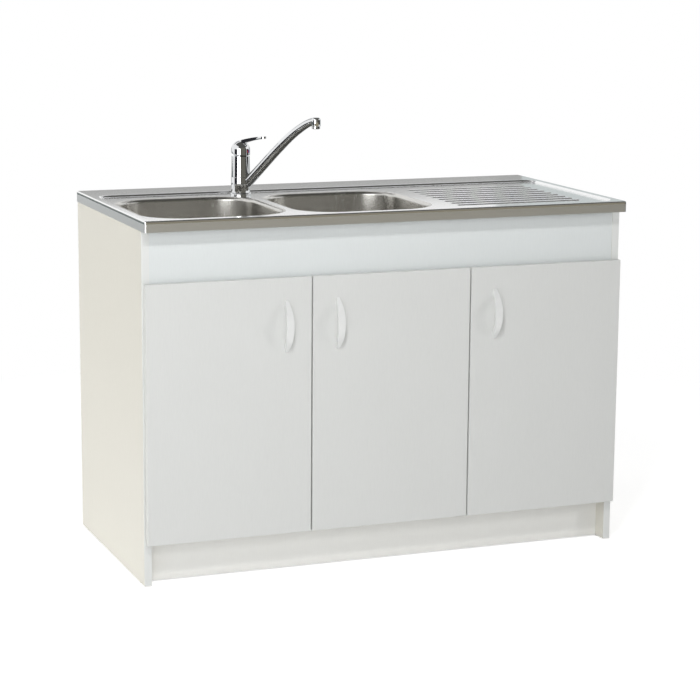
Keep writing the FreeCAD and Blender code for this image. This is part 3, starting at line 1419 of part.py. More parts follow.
def tap_fixings():
    """Threaded shank through the deck with two hose inlets, and the washer and nut that hold it."""
    shank = new_body(x=TAP_X, y=TAP_Y, z=DECK)
    low = "(dims.base_ring_height + dims.shank_length)"
    sketch = circle(new_sketch(shank, "XY_Plane", "-dims.shank_length"), "dims.shank_radius")
    pad(shank, sketch, low)
    inlets = [("-dims.inlet_spacing / 2", "0"), ("dims.inlet_spacing / 2", "0")]
    drill(shank, "XY_Plane", "-dims.shank_length", inlets, "dims.inlet_radius", "dims.inlet_depth", True)
    node("tap_shank", shank)
    under = f"({DECK} - dims.sheet_steel)"
    bore = "dims.shank_radius + dims.fit_clearance"
    washer = new_body(x=TAP_X, y=TAP_Y, z=under)
    ring = circle(new_sketch(washer, "XY_Plane"), "dims.tap_washer_radius")
    pad(washer, circle(ring, bore), "dims.tap_washer", True)
    node("tap_washer", washer)
    nut = new_body(x=TAP_X, y=TAP_Y, z=f"{under} - dims.tap_washer")
    hexagon = loop(new_sketch(nut, "XY_Plane"), [
        (f"dims.tap_nut_radius * cos({60 * index})", f"dims.tap_nut_radius * sin({60 * index})")
        for index in range(6)
    ])
    pad(nut, circle(hexagon, bore), "dims.tap_nut_height", True)
    node("tap_nut", nut)


LEVER_TURN = Rotation(Vector(0, 0, 1), number("dims.lever_angle"))


def tap_cartridge():
    """Stem that turns in the tap body. Its tongue carries the cross pin that the lever tilts on."""
    body = new_body(x=TAP_X, y=TAP_Y, z=DECK, turn=LEVER_TURN)
    root = "(dims.tap_body_top - dims.base_ring_height)"
    stem = circle(new_sketch(body, "XY_Plane", "dims.stem_foot"), "dims.stem_radius")
    pad(body, stem, f"{root} - dims.stem_foot")
    half = "dims.tongue_width"
    tongue = loop(new_sketch(body, "XZ_Plane", "-dims.tongue_half"), [
        (f"-{half}", root),
        (half, root),
        (half, "fits.lever_pivot", f"{half} * 0.8"),
        (f"-{half}", "fits.lever_pivot"),
    ])
    pad(body, tongue, "2 * dims.tongue_half")
    pin = new_sketch(body, "XZ_Plane", "-fits.lever_pin_half")
    circle(pin, "dims.lever_pin_radius", "0", "fits.lever_pivot")
    pad(body, pin, "2 * fits.lever_pin_half")
    return node("tap_cartridge", body)


def tap_lever():
    """Cap over the ball crown, hung on the cross pin by two ears, with a flat lever to the front."""
    body = new_body(x=TAP_X, y=TAP_Y, z=DECK, turn=LEVER_TURN)
    pivot = "fits.lever_pivot"
    outer = "fits.lever_cap_radius"
    hollow = "(dims.ball_radius + dims.ball_gap)"
    rim = "dims.lever_rim"
    rise = "dims.lever_cap_rise"
    lever_arm(body)
    dome = f"({rise} - dims.lever_skirt)"
    chord = f"({outer} ^ 2 + {dome} ^ 2)"
    dome_radius = f"({chord} / (2 * {dome}))"
    revolve(body, [
        ("0", f"{pivot} - {rim}"),
        (outer, f"{pivot} - {rim}"),
        (outer, f"{pivot} + dims.lever_skirt", f"({dome_radius} - sqrt({dome_radius} ^ 2 - {chord} / 4))"),
        ("0", f"{pivot} + {rise}"),
    ])
    ceiling = f"({pivot} + dims.lever_hollow)"
    revolve(body, [
        ("0", f"{pivot} - 2 * {rim}"),
        (hollow, f"{pivot} - 2 * {rim}"),
        (hollow, f"{ceiling} - dims.lever_hollow_bevel"),
        (f"{hollow} - dims.lever_hollow_bevel", ceiling),
        ("0", ceiling),
    ], groove=True)
    wedge = loop(new_sketch(body, "XZ_Plane", f"-2 * {outer}"), [
        (f"-2 * {outer}", f"{pivot} - 2 * {rim}"),
        (outer, f"{pivot} - 2 * {rim}"),
        (outer, f"{pivot} - {rim}"),
        (f"-{outer}", f"{pivot} - dims.lever_rear_rim"),
        (f"-2 * {outer}", f"{pivot} - dims.lever_rear_rim"),
    ])
    pocket(body, wedge, f"4 * {outer}", True)
    inner = "(dims.tongue_half + dims.axial_clearance)"
    half = "dims.tongue_width"
    for near in (f"-{inner} - dims.lever_ear", inner):
        ear = new_sketch(body, "XZ_Plane", near)
        rectangle(ear, f"-{half}", f"{pivot} - {half}", half, ceiling)
        pad(body, ear, "dims.lever_ear")
    drill(body, "XZ_Plane", f"-{inner} - dims.lever_ear", [("0", pivot)],
          "dims.lever_pin_radius + dims.running_clearance", f"2 * ({inner} + dims.lever_ear)", True)
    plug = "dims.plug_radius + dims.fit_clearance"
    drill(body, "YZ_Plane", f"{outer} + dims.plug_depth", [("0", pivot)], plug, "2 * dims.plug_depth")
    return node("tap_lever", body)


def lever_arm(body):
    """Blade of the lever: it springs from the cap, arches to the front, and ends in a rounded paddle."""
    base = "fits.lever_pivot"
    top = f"({base} + dims.lever_cap_rise)"
    beyond = "(dims.lever_reach + dims.lever_tip_thickness)"
    thin = "dims.lever_tip_thickness / 2"
    wide = "dims.lever_tip_width"
    arch = loop(new_sketch(body, "XZ_Plane", f"-{wide}"), [
        ("0", f"{top} - dims.lever_root_drop"),
        ("dims.lever_throat", f"{top} - dims.lever_throat_drop", "-dims.lever_throat_sag"),
        (beyond, f"{base} + dims.lever_rise - {thin}"),
        (beyond, f"{base} + dims.lever_rise + {thin}", "dims.lever_arch"),
        ("-dims.lever_root_back", f"{top} - dims.lever_root_sink"),
    ])
    pad(body, arch, f"2 * {wide}")
    root = "(dims.lever_root_width / 2)"
    waist = "(dims.lever_waist_width / 2)"
    paddle = f"(dims.lever_reach - {wide} / 2)"
    plan = new_sketch(body, "XY_Plane", f"{base} + 2 * dims.lever_cap_rise")
    rectangle(plan, f"-{beyond}", f"-{beyond}", f"2 * {beyond}", beyond)
    loop(plan, [
        ("-dims.lever_root_back", f"-{waist}"),
        ("dims.lever_root_place", f"-{root}"),
        ("dims.lever_waist_place", f"-{waist}"),
        (paddle, f"-{wide} / 2", "dims.lever_tip_round"),
        (paddle, f"{wide} / 2"),
        ("dims.lever_waist_place", waist),
        ("dims.lever_root_place", root),
        ("-dims.lever_root_back", waist),
    ])
    pocket(body, plan, "2 * dims.lever_cap_rise")


def tap_lever_plug():
    """Hot and cold marker that also covers the lever's set screw."""
    start = "(fits.lever_cap_radius - dims.plug_depth)"
    plug = doc.addObject("Part::Cylinder", "Plug")
    bind(plug, Radius="dims.plug_radius", Height="dims.plug_depth * 1.1")
    turn = LEVER_TURN.multiply(AXIS_TURNS["X"])
    x = f"{TAP_X} + {start} * cos(dims.lever_angle)"
    y = f"{TAP_Y} + {start} * sin(dims.lever_angle)"
    return node("tap_lever_plug", place(plug, x, y, f"{DECK} + fits.lever_pivot", turn))


doc.recompute()
side_panel("left_side_panel", -1)
side_panel("right_side_panel", 1)
bottom_panel()
spanning_board("plinth_board", JOINTS["plinth"], f"{PLINTH_FRONT} + dims.board", "dims.glide_height",
               "dims.plinth_height", f"{PLINTH_FRONT} + dims.board", True)
spanning_board("front_fascia", JOINTS["fascia"], f"{FASCIA_FRONT} + dims.board", FASCIA_BOTTOM, CARCASS_TOP,
               f"{FASCIA_FRONT} + dims.board", True)
rail = spanning_board("rear_top_rail", JOINTS["rail"], CARCASS_BACK, f"{CARCASS_TOP} - dims.rail_height",
                      CARCASS_TOP, f"{CARCASS_BACK} - dims.board", False)
fixings = [("-dims.fixing_spacing / 2", RAIL_Z), ("dims.fixing_spacing / 2", RAIL_Z)]
drill(rail, "XZ_Plane", f"-({CARCASS_BACK} - dims.board)", fixings, "dims.fixing_radius", "dims.board")
divider_panel()
back_panel()
shelf()
shelf_pins()
floor_glides()
knock_down_fittings()
doors_and_hinges()
sink_top()
for side, x in BOWL_X.items():
    bowl(f"{side}_bowl", x)
    basket(f"{side}_basket", x)
group("waste_flanges", [waste_flange(x) for x in BOWL_X.values()])
group("waste_gaskets", [waste_gasket(x) for x in BOWL_X.values()])
group("waste_bodies", [waste_body(x) for x in BOWL_X.values()])
drain_pipe()
trap_body()
trap_cup()
outlet_pipe()
coupling_nuts()
tap_base_ring()
tap_body()
tap_spout()
tap_aerator()
tap_fixings()
tap_cartridge()
tap_lever()
tap_lever_plug()

doc.recompute()
faults = [item.Label for item in doc.Objects if "Invalid" in item.State or "Error" in item.State]
faults += [item.Label for item in NODES if item.Shape.isNull() or not item.Shape.isValid()]
if faults:
    raise RuntimeError(f"these did not build: {faults}")

os.makedirs("parts", exist_ok=True)
for item in NODES:
    item.Shape.exportStep(f"parts/{item.Label}.step")
    print(item.Label, len(item.Shape.Solids), "solids", round(item.Shape.Volume), "mm3")
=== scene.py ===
# %% [markdown]
# # A sink base cabinet
# The unit is a white melamine cabinet with three doors. A pressed steel sink with two bowls lies on it,
# and a lever mixer tap stands behind the bowls. The solids come from the CAD model and stay where they
# are. This lesson gives them finishes, soft edges, the small parts that a maker would fit, light and a
# camera.

# %% Load the CAD model
import json
import math

import bmesh
import bpy
from mathutils import Matrix, Vector, geometry


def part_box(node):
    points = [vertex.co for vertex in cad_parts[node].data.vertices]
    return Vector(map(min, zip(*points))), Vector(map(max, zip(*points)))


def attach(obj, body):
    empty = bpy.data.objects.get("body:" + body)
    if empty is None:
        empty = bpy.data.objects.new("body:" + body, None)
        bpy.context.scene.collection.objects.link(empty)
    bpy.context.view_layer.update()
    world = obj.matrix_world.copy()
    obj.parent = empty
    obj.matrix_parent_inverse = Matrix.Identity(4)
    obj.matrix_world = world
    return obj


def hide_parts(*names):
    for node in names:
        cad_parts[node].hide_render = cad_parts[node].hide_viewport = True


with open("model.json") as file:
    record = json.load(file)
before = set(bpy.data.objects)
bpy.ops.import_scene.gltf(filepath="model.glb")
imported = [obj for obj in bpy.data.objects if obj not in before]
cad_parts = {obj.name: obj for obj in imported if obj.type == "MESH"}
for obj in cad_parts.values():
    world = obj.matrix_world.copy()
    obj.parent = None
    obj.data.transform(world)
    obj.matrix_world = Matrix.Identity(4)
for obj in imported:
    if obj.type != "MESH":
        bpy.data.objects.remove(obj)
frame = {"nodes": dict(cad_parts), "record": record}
MM = 0.001
solids = frame["nodes"]
bodies = frame["record"]["behaviour"]["bodies"]
body_of = {name: body for body, names in bodies.items() for name in names}
slot_of = {part["node"]: part["material_slot"] for part in frame["record"]["subparts"]}
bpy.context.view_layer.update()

# %% [markdown]
# ## Shader maths
# A finish is a graph of nodes. Linking them one by one is hard to read, so `Value` wraps a socket and lets
# Python's own operators add the Math nodes. `Graph` makes every other node with one method: its settings
# are set first, because a setting can change which sockets a node has.

# %% A number in a node graph


class Value:
    """A number that changes over a surface."""

    def __init__(self, graph, socket):
        self.graph = graph
        self.socket = socket

    def math(self, operation, *others):
        numbers = dict(enumerate((self, *others)))
        return self.graph.add("ShaderNodeMath", {"operation": operation}, numbers)

    def also(self, output):
        """Another output of the same node."""
        return Value(self.graph, self.socket.node.outputs[output])

    def __add__(self, other):
        return self.math("ADD", other)

    def __sub__(self, other):
        return self.math("SUBTRACT", other)

    def __rsub__(self, other):
        return self * -1 + other

    def __mul__(self, other):
        return self.math("MULTIPLY", other)

    __radd__ = __add__
    __rmul__ = __mul__


# %% A graph of nodes


class Graph:
    """The nodes of a material or of the world."""

    def __init__(self, tree):
        self.tree = tree

    def add(self, kind, settings=None, sockets=None, output=0):
        node = self.tree.nodes.new(kind)
        for key, value in (settings or {}).items():
            setattr(node, key, value)
        for key, value in (sockets or {}).items():
            self.connect(value, node.inputs[key])
        return Value(self, node.outputs[output])

    def connect(self, value, socket):
        if isinstance(value, Value):
            self.tree.links.new(value.socket, socket)
        else:
            socket.default_value = value

    def seen(self):
        """One for rays from the camera, shiny surfaces or glass, nought for light that falls on things."""
        camera = self.add("ShaderNodeLightPath", output="Is Camera Ray")
        shiny = camera.math("MAXIMUM", camera.also("Is Glossy Ray"))
        return shiny.math("MAXIMUM", camera.also("Is Transmission Ray"))


# %% A finish
# The Mix node repeats its sockets for each kind of data, so its colours are found by number
MIX_FIRST = 6
MIX_SECOND = 7
MIXED = 2


def socket_name(word):
    """The shader's own name of a socket."""
    return word.replace("_", " ").title().replace("Ior", "IOR")


class Finish(Graph):
    """One procedural material with a Principled shader."""

    def __init__(self, name, **constants):
        self.material = bpy.data.materials.new(name)
        self.material.use_nodes = True
        super().__init__(self.material.node_tree)
        self.shader = self.tree.nodes["Principled BSDF"]
        self.feed(**constants)

    def feed(self, **inputs):
        """Gives the shader its constants, and links what varies over the surface."""
        for word, value in inputs.items():
            self.connect(value, self.shader.inputs[socket_name(word)])
        return self

    def show(self, surface):
        """Shows another shader than the Principled one."""
        self.connect(surface, self.tree.nodes["Material Output"].inputs["Surface"])
        return self

    def place(self, stretch=(1, 1, 1)):
        """The piece's own coordinates, stretched."""
        point = self.add("ShaderNodeTexCoord", output="Object")
        return self.add("ShaderNodeMapping", sockets={"Vector": point, "Scale": stretch})

    def axis(self, letter):
        return self.add("ShaderNodeSeparateXYZ", sockets={"Vector": self.place()}, output=letter)

    def noise(self, scale, stretch=(1, 1, 1), detail=4.0, roughness=0.55):
        sockets = {"Vector": self.place(stretch), "Scale": scale, "Detail": detail, "Roughness": roughness}
        return self.add("ShaderNodeTexNoise", {"noise_dimensions": "3D"}, sockets)

    def blend(self, factor, first, second):
        """Mixes two colours."""
        sockets = {"Factor": factor}
        for key, colour in ((MIX_FIRST, first), (MIX_SECOND, second)):
            sockets[key] = colour if isinstance(colour, Value) else (*colour, 1)
        return self.add("ShaderNodeMix", {"data_type": "RGBA"}, sockets, output=MIXED)

    def span(self, value, low, high, start, end):
        """Stretches a range of a value onto another range."""
        sockets = {"Value": value, "From Min": low, "From Max": high, "To Min": start, "To Max": end}
        return self.add("ShaderNodeMapRange", {"clamp": True}, sockets)

    def bump(self, height, strength, distance):
        sockets = {"Height": height, "Strength": strength, "Distance": distance}
        return self.add("ShaderNodeBump", sockets=sockets)


finishes = {}
print("shader helpers ready")

# %% [markdown]
# ## Melamine boards
# Melamine paper is pressed onto chipboard with a fine grain, so light breaks up a little over it. The
# doors and the fascia are a cool white. The sides are a warmer one, with a cooler band along their front
# edge. The grain is stretched noise, long up the board, that drives a faint change of tone, the roughness
# and a shallow bump. The lowest millimetres turn grey towards the floor.

# %% White board finishes
GRAIN = (1, 1, 0.06)
GREY_NEAR_FLOOR = (0.42, 0.40, 0.37)


def melamine(name, tone, shade, edge=None):
    finish = Finish(name, specular_ior_level=0.4)
    pores = finish.noise(900, GRAIN, detail=3)
    cloud = finish.noise(5, detail=2)
    peel = finish.noise(420, detail=2)
    # Greys the boards in clouds, darker towards the bottom over their lowest millimetres
    low_greying = finish.span(finish.axis("Z"), 3 * MM, 20 * MM, 0.3, 0.0) * cloud
    colour = finish.blend(finish.span(pores, 0.35, 0.75, 0.0, 0.45) + cloud * 0.35, tone, shade)
    colour = finish.blend(low_greying, colour, GREY_NEAR_FLOOR)
    if edge:
        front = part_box("left_side_panel")[0].y
        band = finish.span(finish.axis("Y"), front + 0.3 * MM, front + 0.6 * MM, 1.0, 0.0)
        colour = finish.blend(band, colour, edge)
    roughness = finish.span(pores, 0.2, 0.8, 0.40, 0.54)
    normal = finish.bump(pores * 0.7 + peel * 0.3, 0.10, 0.4 * MM)
    finishes[name] = finish.feed(base_color=colour, roughness=roughness, normal=normal)


melamine("front_melamine", (0.755, 0.765, 0.75), (0.705, 0.715, 0.70))
melamine("fascia_melamine", (0.785, 0.82, 0.82), (0.735, 0.77, 0.77))
# The plinth is the same white board, painted brighter to make up for the shade it stands in, set back low
melamine("plinth_melamine_painted_bright", (0.93, 0.93, 0.90), (0.88, 0.88, 0.85))
melamine("side_melamine", (0.80, 0.785, 0.715), (0.75, 0.735, 0.67), edge=(0.80, 0.815, 0.80))
melamine("inner_melamine", (0.76, 0.755, 0.73), (0.71, 0.705, 0.68))
print("boards:", list(finishes))

# %% [markdown]
# ## Metals
# Stainless steel is a metal whose roughness is combed along its brushing: the deck along its length and
# the bowls up their walls. The sink's folded skirt is duller than its deck. Chrome is nearly a mirror with
# faint smears. All of them are stretched noise with other numbers, so one function serves.

# %% Steel, chrome, nickel and brass
SKIRT_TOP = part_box("sink_top")[1].z - 6.5 * MM
SKIRT_DULLNESS = 0.22


def metal(name, tone, shade, rough, comb=(1, 1, 1), scale=60, depth=0.03, skirt=False):
    finish = Finish(name, metallic=1.0)
    lines = finish.noise(scale, comb, detail=5, roughness=0.6)
    smear = finish.noise(9, detail=3)
    colour = finish.blend(finish.span(lines + smear * 0.4, 0.4, 1.0, 0.0, 1.0), tone, shade)
    roughness = finish.span(lines * 0.7 + smear * 0.5, 0.35, 0.85, *rough)
    if skirt:
        dull = finish.span(finish.axis("Z"), SKIRT_TOP - 1 * MM, SKIRT_TOP, 1.0, 0.0)
        roughness = roughness + dull * SKIRT_DULLNESS
    normal = finish.bump(lines, depth, 0.2 * MM)
    finishes[name] = finish.feed(base_color=colour, roughness=roughness, normal=normal)


# The deck's steel is painted brighter than plain steel, for its bright reflection
metal(
    "deck_steel_painted_bright", (0.93, 0.935, 0.935), (0.885, 0.89, 0.89), (0.13, 0.16),
    comb=(0.03, 1, 1), scale=260, depth=0.005, skirt=True,
)
# The bowls' steel is a darker, warmer copy of the same steel, painted for the shade and dark reflections
# inside the bowls
metal(
    "bowl_steel_painted_dark", (0.70, 0.69, 0.66), (0.65, 0.64, 0.61), (0.23, 0.29),
    comb=(1, 1, 0.05), scale=1400, depth=0.008,
)
metal("chrome", (0.82, 0.83, 0.84), (0.78, 0.79, 0.80), (0.03, 0.06), scale=14, depth=0.0)
metal("nickel", (0.62, 0.61, 0.58), (0.52, 0.51, 0.49), (0.22, 0.36), scale=200)
metal("brass", (0.66, 0.50, 0.24), (0.56, 0.41, 0.19), (0.25, 0.40), comb=(1, 1, 0.1), scale=300)
print("with the metals:", len(finishes), "finishes")

# %% [markdown]
# ## Plastics, rubber and wood
# Moulded plastic has a little orange peel that blurs its shine. Hardboard and beech are fibres, so their
# noise drives the colour as well as the bump, and in beech it is stretched along the grain.

# %% Moulded and fibrous finishes


def moulded(name, tone, shade, rough, depth=0.05):
    finish = Finish(name)
    peel = finish.noise(350, detail=2)
    cloud = finish.noise(11, detail=3)
    colour = finish.blend(finish.span(cloud, 0.3, 0.7, 0.0, 1.0), tone, shade)
    roughness = finish.span(peel * 0.4 + cloud * 0.6, 0.3, 0.7, *rough)
    normal = finish.bump(peel, depth, 0.3 * MM)
    finishes[name] = finish.feed(base_color=colour, roughness=roughness, normal=normal)


def fibres(name, tone, shade, stretch):
    finish = Finish(name, specular_ior_level=0.3)
    grain = finish.noise(160, stretch, detail=6, roughness=0.65)
    colour = finish.blend(finish.span(grain, 0.3, 0.7, 0.0, 1.0), tone, shade)
    roughness = finish.span(grain, 0.2, 0.8, 0.55, 0.75)
    normal = finish.bump(grain, 0.2, 0.5 * MM)
    finishes[name] = finish.feed(base_color=colour, roughness=roughness, normal=normal)


moulded("handle_plastic", (0.84, 0.85, 0.84), (0.81, 0.82, 0.81), (0.28, 0.40))
moulded("pipe_plastic", (0.76, 0.76, 0.74), (0.70, 0.70, 0.68), (0.32, 0.46))
moulded("rubber", (0.045, 0.045, 0.045), (0.03, 0.03, 0.03), (0.55, 0.75), depth=0.12)
moulded("bumper", (0.62, 0.64, 0.64), (0.55, 0.57, 0.57), (0.20, 0.35))
fibres("hardboard", (0.60, 0.56, 0.48), (0.48, 0.43, 0.35), (1, 1, 1))
fibres("beech", (0.62, 0.44, 0.27), (0.50, 0.34, 0.20), (0.1, 1, 1))
print("with plastics and fibres:", len(finishes), "finishes")

# %% [markdown]
# ## The temperature mark
# A small round plug in front of the lever is red on the hot side and blue on the cold side. The two halves
# are told apart by a line through the middle of the plug, so the colour needs no second piece.

# %% Red and blue plug


def middle_of(name):
    low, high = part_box(name)
    return (low + high) / 2


def temperature_mark(name):
    finish = Finish(name, specular_ior_level=0.5)
    middle = middle_of("tap_lever_plug")
    across = (finish.axis("X") - middle.x) + (finish.axis("Y") - middle.y)
    side = finish.span(across, -0.2 * MM, 0.2 * MM, 0.0, 1.0)
    speck = finish.noise(300)
    colour = finish.blend(side, (0.42, 0.03, 0.03), (0.03, 0.07, 0.34))
    finishes[name] = finish.feed(base_color=colour, roughness=finish.span(speck, 0.3, 0.7, 0.2, 0.32))


temperature_mark("temperature_mark")
print("with the mark:", len(finishes), "finishes")

# %% [markdown]
# ## Which finish goes where
# The record names a material slot for every solid. Most slots map onto one finish. The boards are told
# apart by where they are seen: doors, fascia, plinth, outer sides, and the inside of the cupboard.

# %% Finish for each solid
SLOT_FINISH = {
    "white_melamine": "inner_melamine",
    "hardboard": "hardboard",
    "beech": "beech",
    # Stainless parts take the bowls' steel, painted darker for the shade inside the bowls
    "stainless_steel": "bowl_steel_painted_dark",
    "white_plastic": "pipe_plastic",
    "black_rubber": "rubber",
    "clear_bumper": "bumper",
    "chrome_plate": "chrome",
    "marker_plastic": "temperature_mark",
    "brass": "brass",
    "plated_steel": "nickel",
}
DOORS = ["left_door", "middle_door", "right_door"]
HANDLES = [f"{door}_handle" for door in DOORS]
SIDES = ["left_side_panel", "right_side_panel"]
finish_of = {name: SLOT_FINISH[slot] for name, slot in slot_of.items()}
# The plinth takes the white that is painted brighter for its shade
finish_of.update(sink_top="deck_steel_painted_bright", front_fascia="fascia_melamine", plinth_board="plinth_melamine_painted_bright")
finish_of.update(dict.fromkeys(SIDES, "side_melamine"))
finish_of.update(dict.fromkeys(DOORS, "front_melamine"))
finish_of.update(dict.fromkeys(HANDLES, "handle_plastic"))

for name, solid in solids.items():
    solid.data.materials.clear()
    solid.data.materials.append(finishes[finish_of[name]].material)
print("dressed", len(solids), "solids")

# %% [markdown]
# ## From a shape to a piece
# Every new piece ends the same way. Its corners, edges and faces are sorted by their place, because a set
# or a bevel can list them in another order each run. Its faces are shaded smooth, and edges over a given
# angle stay sharp. On boards, handles and the sink's top the large flat faces lead the shading, so that a
# flat panel stays flat up to its rounded rim. The piece then takes its body and its finish from the solid
# it belongs to.

# %% Finish a piece
# Uneven weights for x, y and z, so that hardly any two places get the same rank
RANK = Vector((1, 1.618, 2.718))


def sort_by_place(shape):
    shape.verts.sort(key=lambda vert: vert.co.dot(RANK))
    shape.edges.sort(key=lambda edge: (edge.verts[0].co + edge.verts[1].co).dot(RANK))
    shape.faces.sort(key=lambda face: face.calc_center_median().dot(RANK))


def add_piece(name, shape, solid, finish=None, instead=False, angle=32, flats=False):
    sort_by_place(shape)
    for face in shape.faces:
        face.smooth = True
    for edge in shape.edges:
        edge.smooth = not (edge.is_manifold and edge.calc_face_angle() > math.radians(angle))
    mesh = bpy.data.meshes.new(name)
    shape.to_mesh(mesh)
    shape.free()
    mesh.materials.append(finishes[finish or finish_of[solid]].material)
    piece = bpy.data.objects.new(name, mesh)
    bpy.context.scene.collection.objects.link(piece)
    if flats:
        flat_first = piece.modifiers.new("flat_first", "WEIGHTED_NORMAL")
        flat_first.keep_sharp = True
        flat_first.weight = 100
    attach(piece, body_of[solid])
    if instead:
        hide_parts(solid)


# %% [markdown]
# ## Smooth surfaces
# A CAD solid arrives as loose triangles, and on a curved piece each one would show. A copy with its
# corners merged can be shaded smooth. The copy then stands in for the solid.

# %% Smooth copies of the curved pieces
MERGE_DISTANCE = 1e-6


def merged_copy(name):
    shape = bmesh.new()
    shape.from_mesh(solids[name].data)
    bmesh.ops.remove_doubles(shape, verts=shape.verts, dist=MERGE_DISTANCE)
    return shape


CURVED = [
    "sink_top", "left_bowl", "right_bowl", "left_basket", "right_basket", "waste_flanges", "waste_bodies",
    "waste_gaskets", "drain_pipe", "trap_body", "trap_cup", "outlet_pipe", "coupling_nuts", "tap_base_ring",
    "tap_body", "tap_aerator", "tap_shank", "tap_washer", "tap_lever_plug", "shelf_pins", "floor_glides",
]
for name in CURVED:
    add_piece(f"{name}_smooth", merged_copy(name), name, instead=True, flats=name == "sink_top")
print("smoothed", len(CURVED), "pieces")

# %% [markdown]
# ## Soft edges on boards and handles
# A board's edge band is trimmed by a cutter that leaves a small round, and a moulded handle has no knife
# edge. That thin round catches the light and is most of what the eye reads as a real board. The triangles
# on each flat face are dissolved first, so that the bevel has clean edges to work on.

# %% Whole faces and rounded edges
FLAT_ANGLE = math.radians(0.2)
RIM_ANGLE = math.radians(40)


def flat_faced(name):
    """A copy of a solid with whole flat faces, and its sharp edges."""
    shape = merged_copy(name)
    bmesh.ops.dissolve_limit(shape, angle_limit=FLAT_ANGLE, verts=shape.verts, edges=shape.edges)
    rims = [edge for edge in shape.edges if edge.is_manifold and edge.calc_face_angle() > RIM_ANGLE]
    return shape, rims


def soften(shape, edges, offset, segments):
    bmesh.ops.bevel(
        shape, geom=list(edges), offset=offset, segments=segments, profile=0.5, affect="EDGES",
        clamp_overlap=True, material=-1,
    )


# %% Eased boards and handles
BOARD_ROUND = 0.7 * MM
SHORTEST_BOARD_RIM = 50 * MM
HANDLE_ROUND = 1.4 * MM
BOARDS = [
    *DOORS, *SIDES, "front_fascia", "plinth_board", "bottom_panel", "divider_panel", "shelf",
    "rear_top_rail",
]


def eased(name, offset, shortest=0.0):
    shape, rims = flat_faced(name)
    soften(shape, [edge for edge in rims if edge.calc_length() > shortest], offset, segments=2)
    return shape


for name in BOARDS:
    add_piece(f"{name}_eased", eased(name, BOARD_ROUND, SHORTEST_BOARD_RIM), name, instead=True, flats=True)
for name in HANDLES:
    add_piece(f"{name}_eased", eased(name, HANDLE_ROUND), name, instead=True, angle=45, flats=True)
print("eased", len(BOARDS), "boards and", len(HANDLES), "handles")

# %% [markdown]
# ## The tap's spout
# The spout is a cast tube that climbs from a collar and bends over at its nose. The CAD loft comes as long
# thin triangles, and a mirror finish shows each of them. So the tube is swept again: a ring is pushed along
# a curve and leaves even rows of faces behind. The collar and the nose are turned parts with soft rims.

# %% Sweeping, turning and gathering


def new_verts(made):
    """The corners among what an operator made."""
    return [item for item in made["geom"] if isinstance(item, bmesh.types.BMVert)]


def swept_tube(shape, path, radii, sides=32):
    """A ring pushed along a path, with its size changing on the way."""
    stops = []
    for index, point in enumerate(path):
        ahead = path[min(index + 1, len(path) - 1)] - path[max(index - 1, 0)]
        turn = ahead.to_track_quat("Z", "Y").to_matrix().to_4x4()
        stops.append(Matrix.Translation(point) @ turn @ Matrix.Scale(radii[index], 4))
    ring = bmesh.ops.create_circle(shape, segments=sides, radius=1)["verts"]
    bmesh.ops.transform(shape, matrix=stops[0], verts=ring)
    for before, after in zip(stops, stops[1:]):
        rim = [edge for edge in shape.edges if edge.verts[0] in ring and edge.verts[1] in ring]
        ring = new_verts(bmesh.ops.extrude_edge_only(shape, edges=rim))
        bmesh.ops.transform(shape, matrix=after @ before.inverted(), verts=ring)


def turned(shape, radius, low, high, sides=64):
    """A plain turned length. Returns its lower and its upper end face."""
    middle = Matrix.Translation((0, 0, (low + high) / 2))
    made = bmesh.ops.create_cone(
        shape, cap_ends=True, segments=sides, radius1=radius, radius2=radius, depth=high - low, matrix=middle
    )["verts"]
    ends = {face for vert in made for face in vert.link_faces if len(face.verts) == sides}
    return sorted(ends, key=lambda face: face.calc_center_median().z)


def gather(shape, part, place):
    """Puts a part in its place and adds it to a shape."""
    bmesh.ops.transform(part, matrix=place, verts=part.verts)
    mesh = bpy.data.meshes.new("part")
    part.to_mesh(mesh)
    part.free()
    shape.from_mesh(mesh)
    bpy.data.meshes.remove(mesh)


# %% The spout's line
# A knot is a place out and up from the tap's foot in millimetres, and the line's climb there in degrees
SPOUT_KNOTS = [(18, 30, 45), (111.5, 126.6, 44), (158.3, 167.1, 35), (186.3, 184.2, 24), (205, 190, 2)]
POINTS_PER_STRETCH = 9


def spout_path():
    path = []
    knots = [(Vector((out, 0, up)) * MM, math.radians(climb)) for out, up, climb in SPOUT_KNOTS]
    for (first, climb), (last, level) in zip(knots, knots[1:]):
        third = (last - first).length / 3
        leave = first + Vector((math.cos(climb), 0, math.sin(climb))) * third
        arrive = last - Vector((math.cos(level), 0, math.sin(level))) * third
        path += geometry.interpolate_bezier(first, leave, arrive, last, POINTS_PER_STRETCH)[:-1]
    return path + [knots[-1][0]]


print("the spout's line has", len(spout_path()), "points")

# %% Tube and collar
TUBE_START = 20.5 * MM
TUBE_RADII = (12.5 * MM, 8.5 * MM)
COLLAR_RADIUS = 23.5 * MM
COLLAR_ENDS = (6.3 * MM, 45.3 * MM)
COLLAR_WALL = 6.4 * MM
COLLAR_ROUND = 0.8 * MM


def spread(first, last, count):
    """Numbers at even steps."""
    return [first + (last - first) * index / (count - 1) for index in range(count)]


